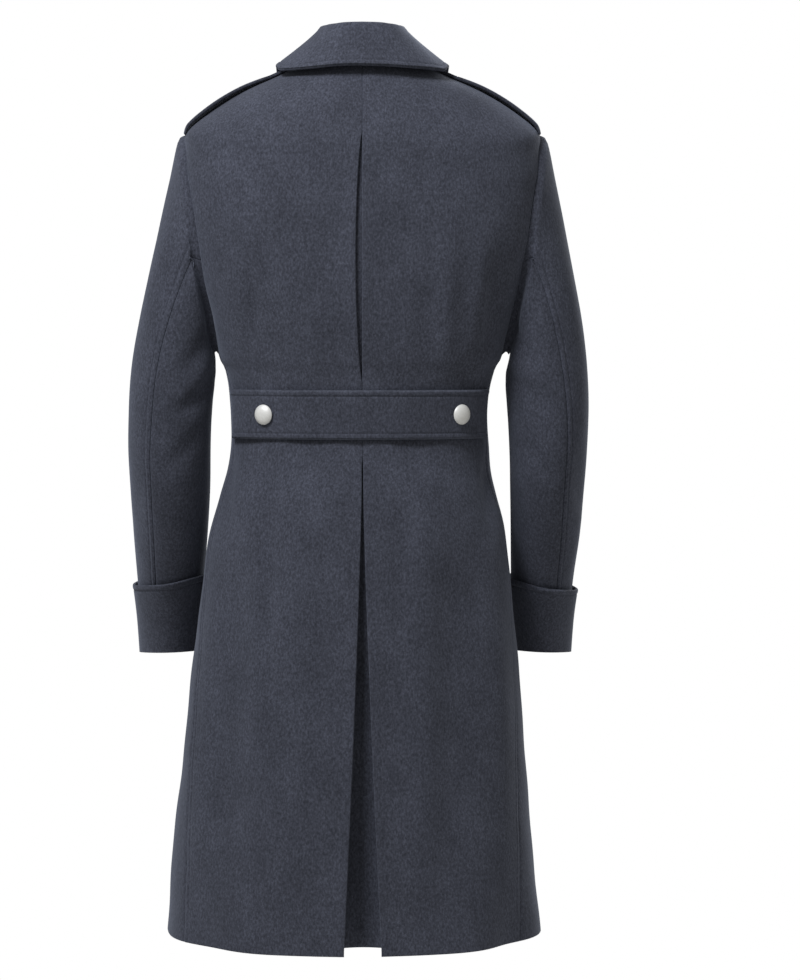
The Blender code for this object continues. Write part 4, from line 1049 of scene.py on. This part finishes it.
for side, word, lower in ((1, "left", 0.0), (-1, "right", CUFF_RIGHT_LOWER)):
    top_row = CUFF_TOP_ROW + lower - CUFF_DROP * (1.0 - outer_side)
    row = top_row + (SLEEVE_END_ROW - top_row) * share
    points = sleeve(row, turn)
    out = grid_out(points, closed=True)
    outer = points + out * relief[..., None]
    shape, ways = (spread_sleeve(outer, row, turn), out) if side == 1 else (mirrored(outer), mirrored(out))
    # The cuffs wear the belt's darker copy of the wool: painted shade.
    piece = add_cloth(f"cuff_{word}_band", shape, ways, CLOTH, wool_trim, f"cuff_{word}",
                      edge=0.0012, closed=True)
    path, path_ways = (np.vstack((grid[STITCH_COLUMN], grid[STITCH_COLUMN, :1])) for grid in (shape, ways))
    add_stitches(f"cuff_{word}_stitches", [path], [path_ways])

# The buttons: plain domed metal ones with a rolled rim, on short shanks. Two hold the ends of the half belt
# and two rows of four close the front.
BUTTON_SIDES = 64
BUTTON_SEAT = 0.0004
BELT_BUTTON_X = 0.1184
FRONT_BUTTON_X = 0.056
FRONT_BUTTON_LEVELS = (-0.205, -0.315, -0.425, -0.535)
# Half of the button's section, from its shank to its crown. Columns: radius, height.
BUTTON_PROFILE = np.array((
    (0.0028, 0.0000), (0.0028, 0.0012), (0.0075, 0.0014), (0.0108, 0.0016), (0.0120, 0.0019),
    (0.0125, 0.0024), (0.0125, 0.0029), (0.0121, 0.0035), (0.0114, 0.0043), (0.0104, 0.0052),
    (0.0091, 0.0061), (0.0075, 0.0069), (0.0056, 0.0075), (0.0035, 0.0079), (0.0014, 0.0081),
))


def button_mesh(name, centre, axis):
    """A domed button turned about its axis from its profile, from the shank to the crown."""
    turns = np.arange(BUTTON_SIDES) / BUTTON_SIDES * 2 * math.pi
    right = unit(np.cross(np.array((0.0, 0.0, 1.0)), axis))
    ring = np.cos(turns)[:, None] * right + np.sin(turns)[:, None] * np.cross(axis, right)
    points = centre + BUTTON_PROFILE[:, 0, None, None] * ring[None] + BUTTON_PROFILE[:, 1, None, None] * axis
    ids = np.arange(len(BUTTON_PROFILE) * BUTTON_SIDES).reshape(-1, BUTTON_SIDES)
    near, far = ids[:-1], ids[1:]
    sides = np.stack((near, np.roll(near, -1, axis=1), np.roll(far, -1, axis=1), far), -1).reshape(-1, 4)
    return new_mesh(name, points.reshape(-1, 3), sides.tolist() + [ids[0][::-1].tolist(), ids[-1].tolist()])


# Worn silver plate, satin, with faint clouds and fine scratches in its polish.
SILVER_COLOURS = ((0.86, 0.86, 0.82, 1.0), (0.95, 0.95, 0.91, 1.0))
silver = noise_finish("button_silver", SILVER_COLOURS, {"Scale": 320.0, "Detail": 4.0}, (0.40, 0.54),
                      Metallic=0.20)
belt_row = float(torso_row_at((BELT_TOP + BELT_BOTTOM) / 2))
places = []
for side, word in SIDES:
    turned = float(angle_at(belt_row, side * BELT_BUTTON_X - torso_value(belt_row, "sway")))
    places.append((f"belt_button_{word}", belt_row, turned, BELT_GAP + LINED + BUTTON_SEAT))
    for number, front_level in enumerate(FRONT_BUTTON_LEVELS):
        front_row = float(torso_row_at(front_level, "front_z"))
        across = side * FRONT_BUTTON_X - torso_value(front_row, "sway")
        turned = float(angle_at(front_row, across, front=True))
        seat = CLOTH + LAY + BUTTON_SEAT
        places.append((f"front_button_{word}_{number + 1}", front_row, turned, seat))
for name, row, turned, seat in places:
    axis = torso_out(row, turned)
    centre = torso(row, turned) + axis * seat
    add_piece(name + "_dome", button_mesh(name + "_dome", centre, axis), silver, name)
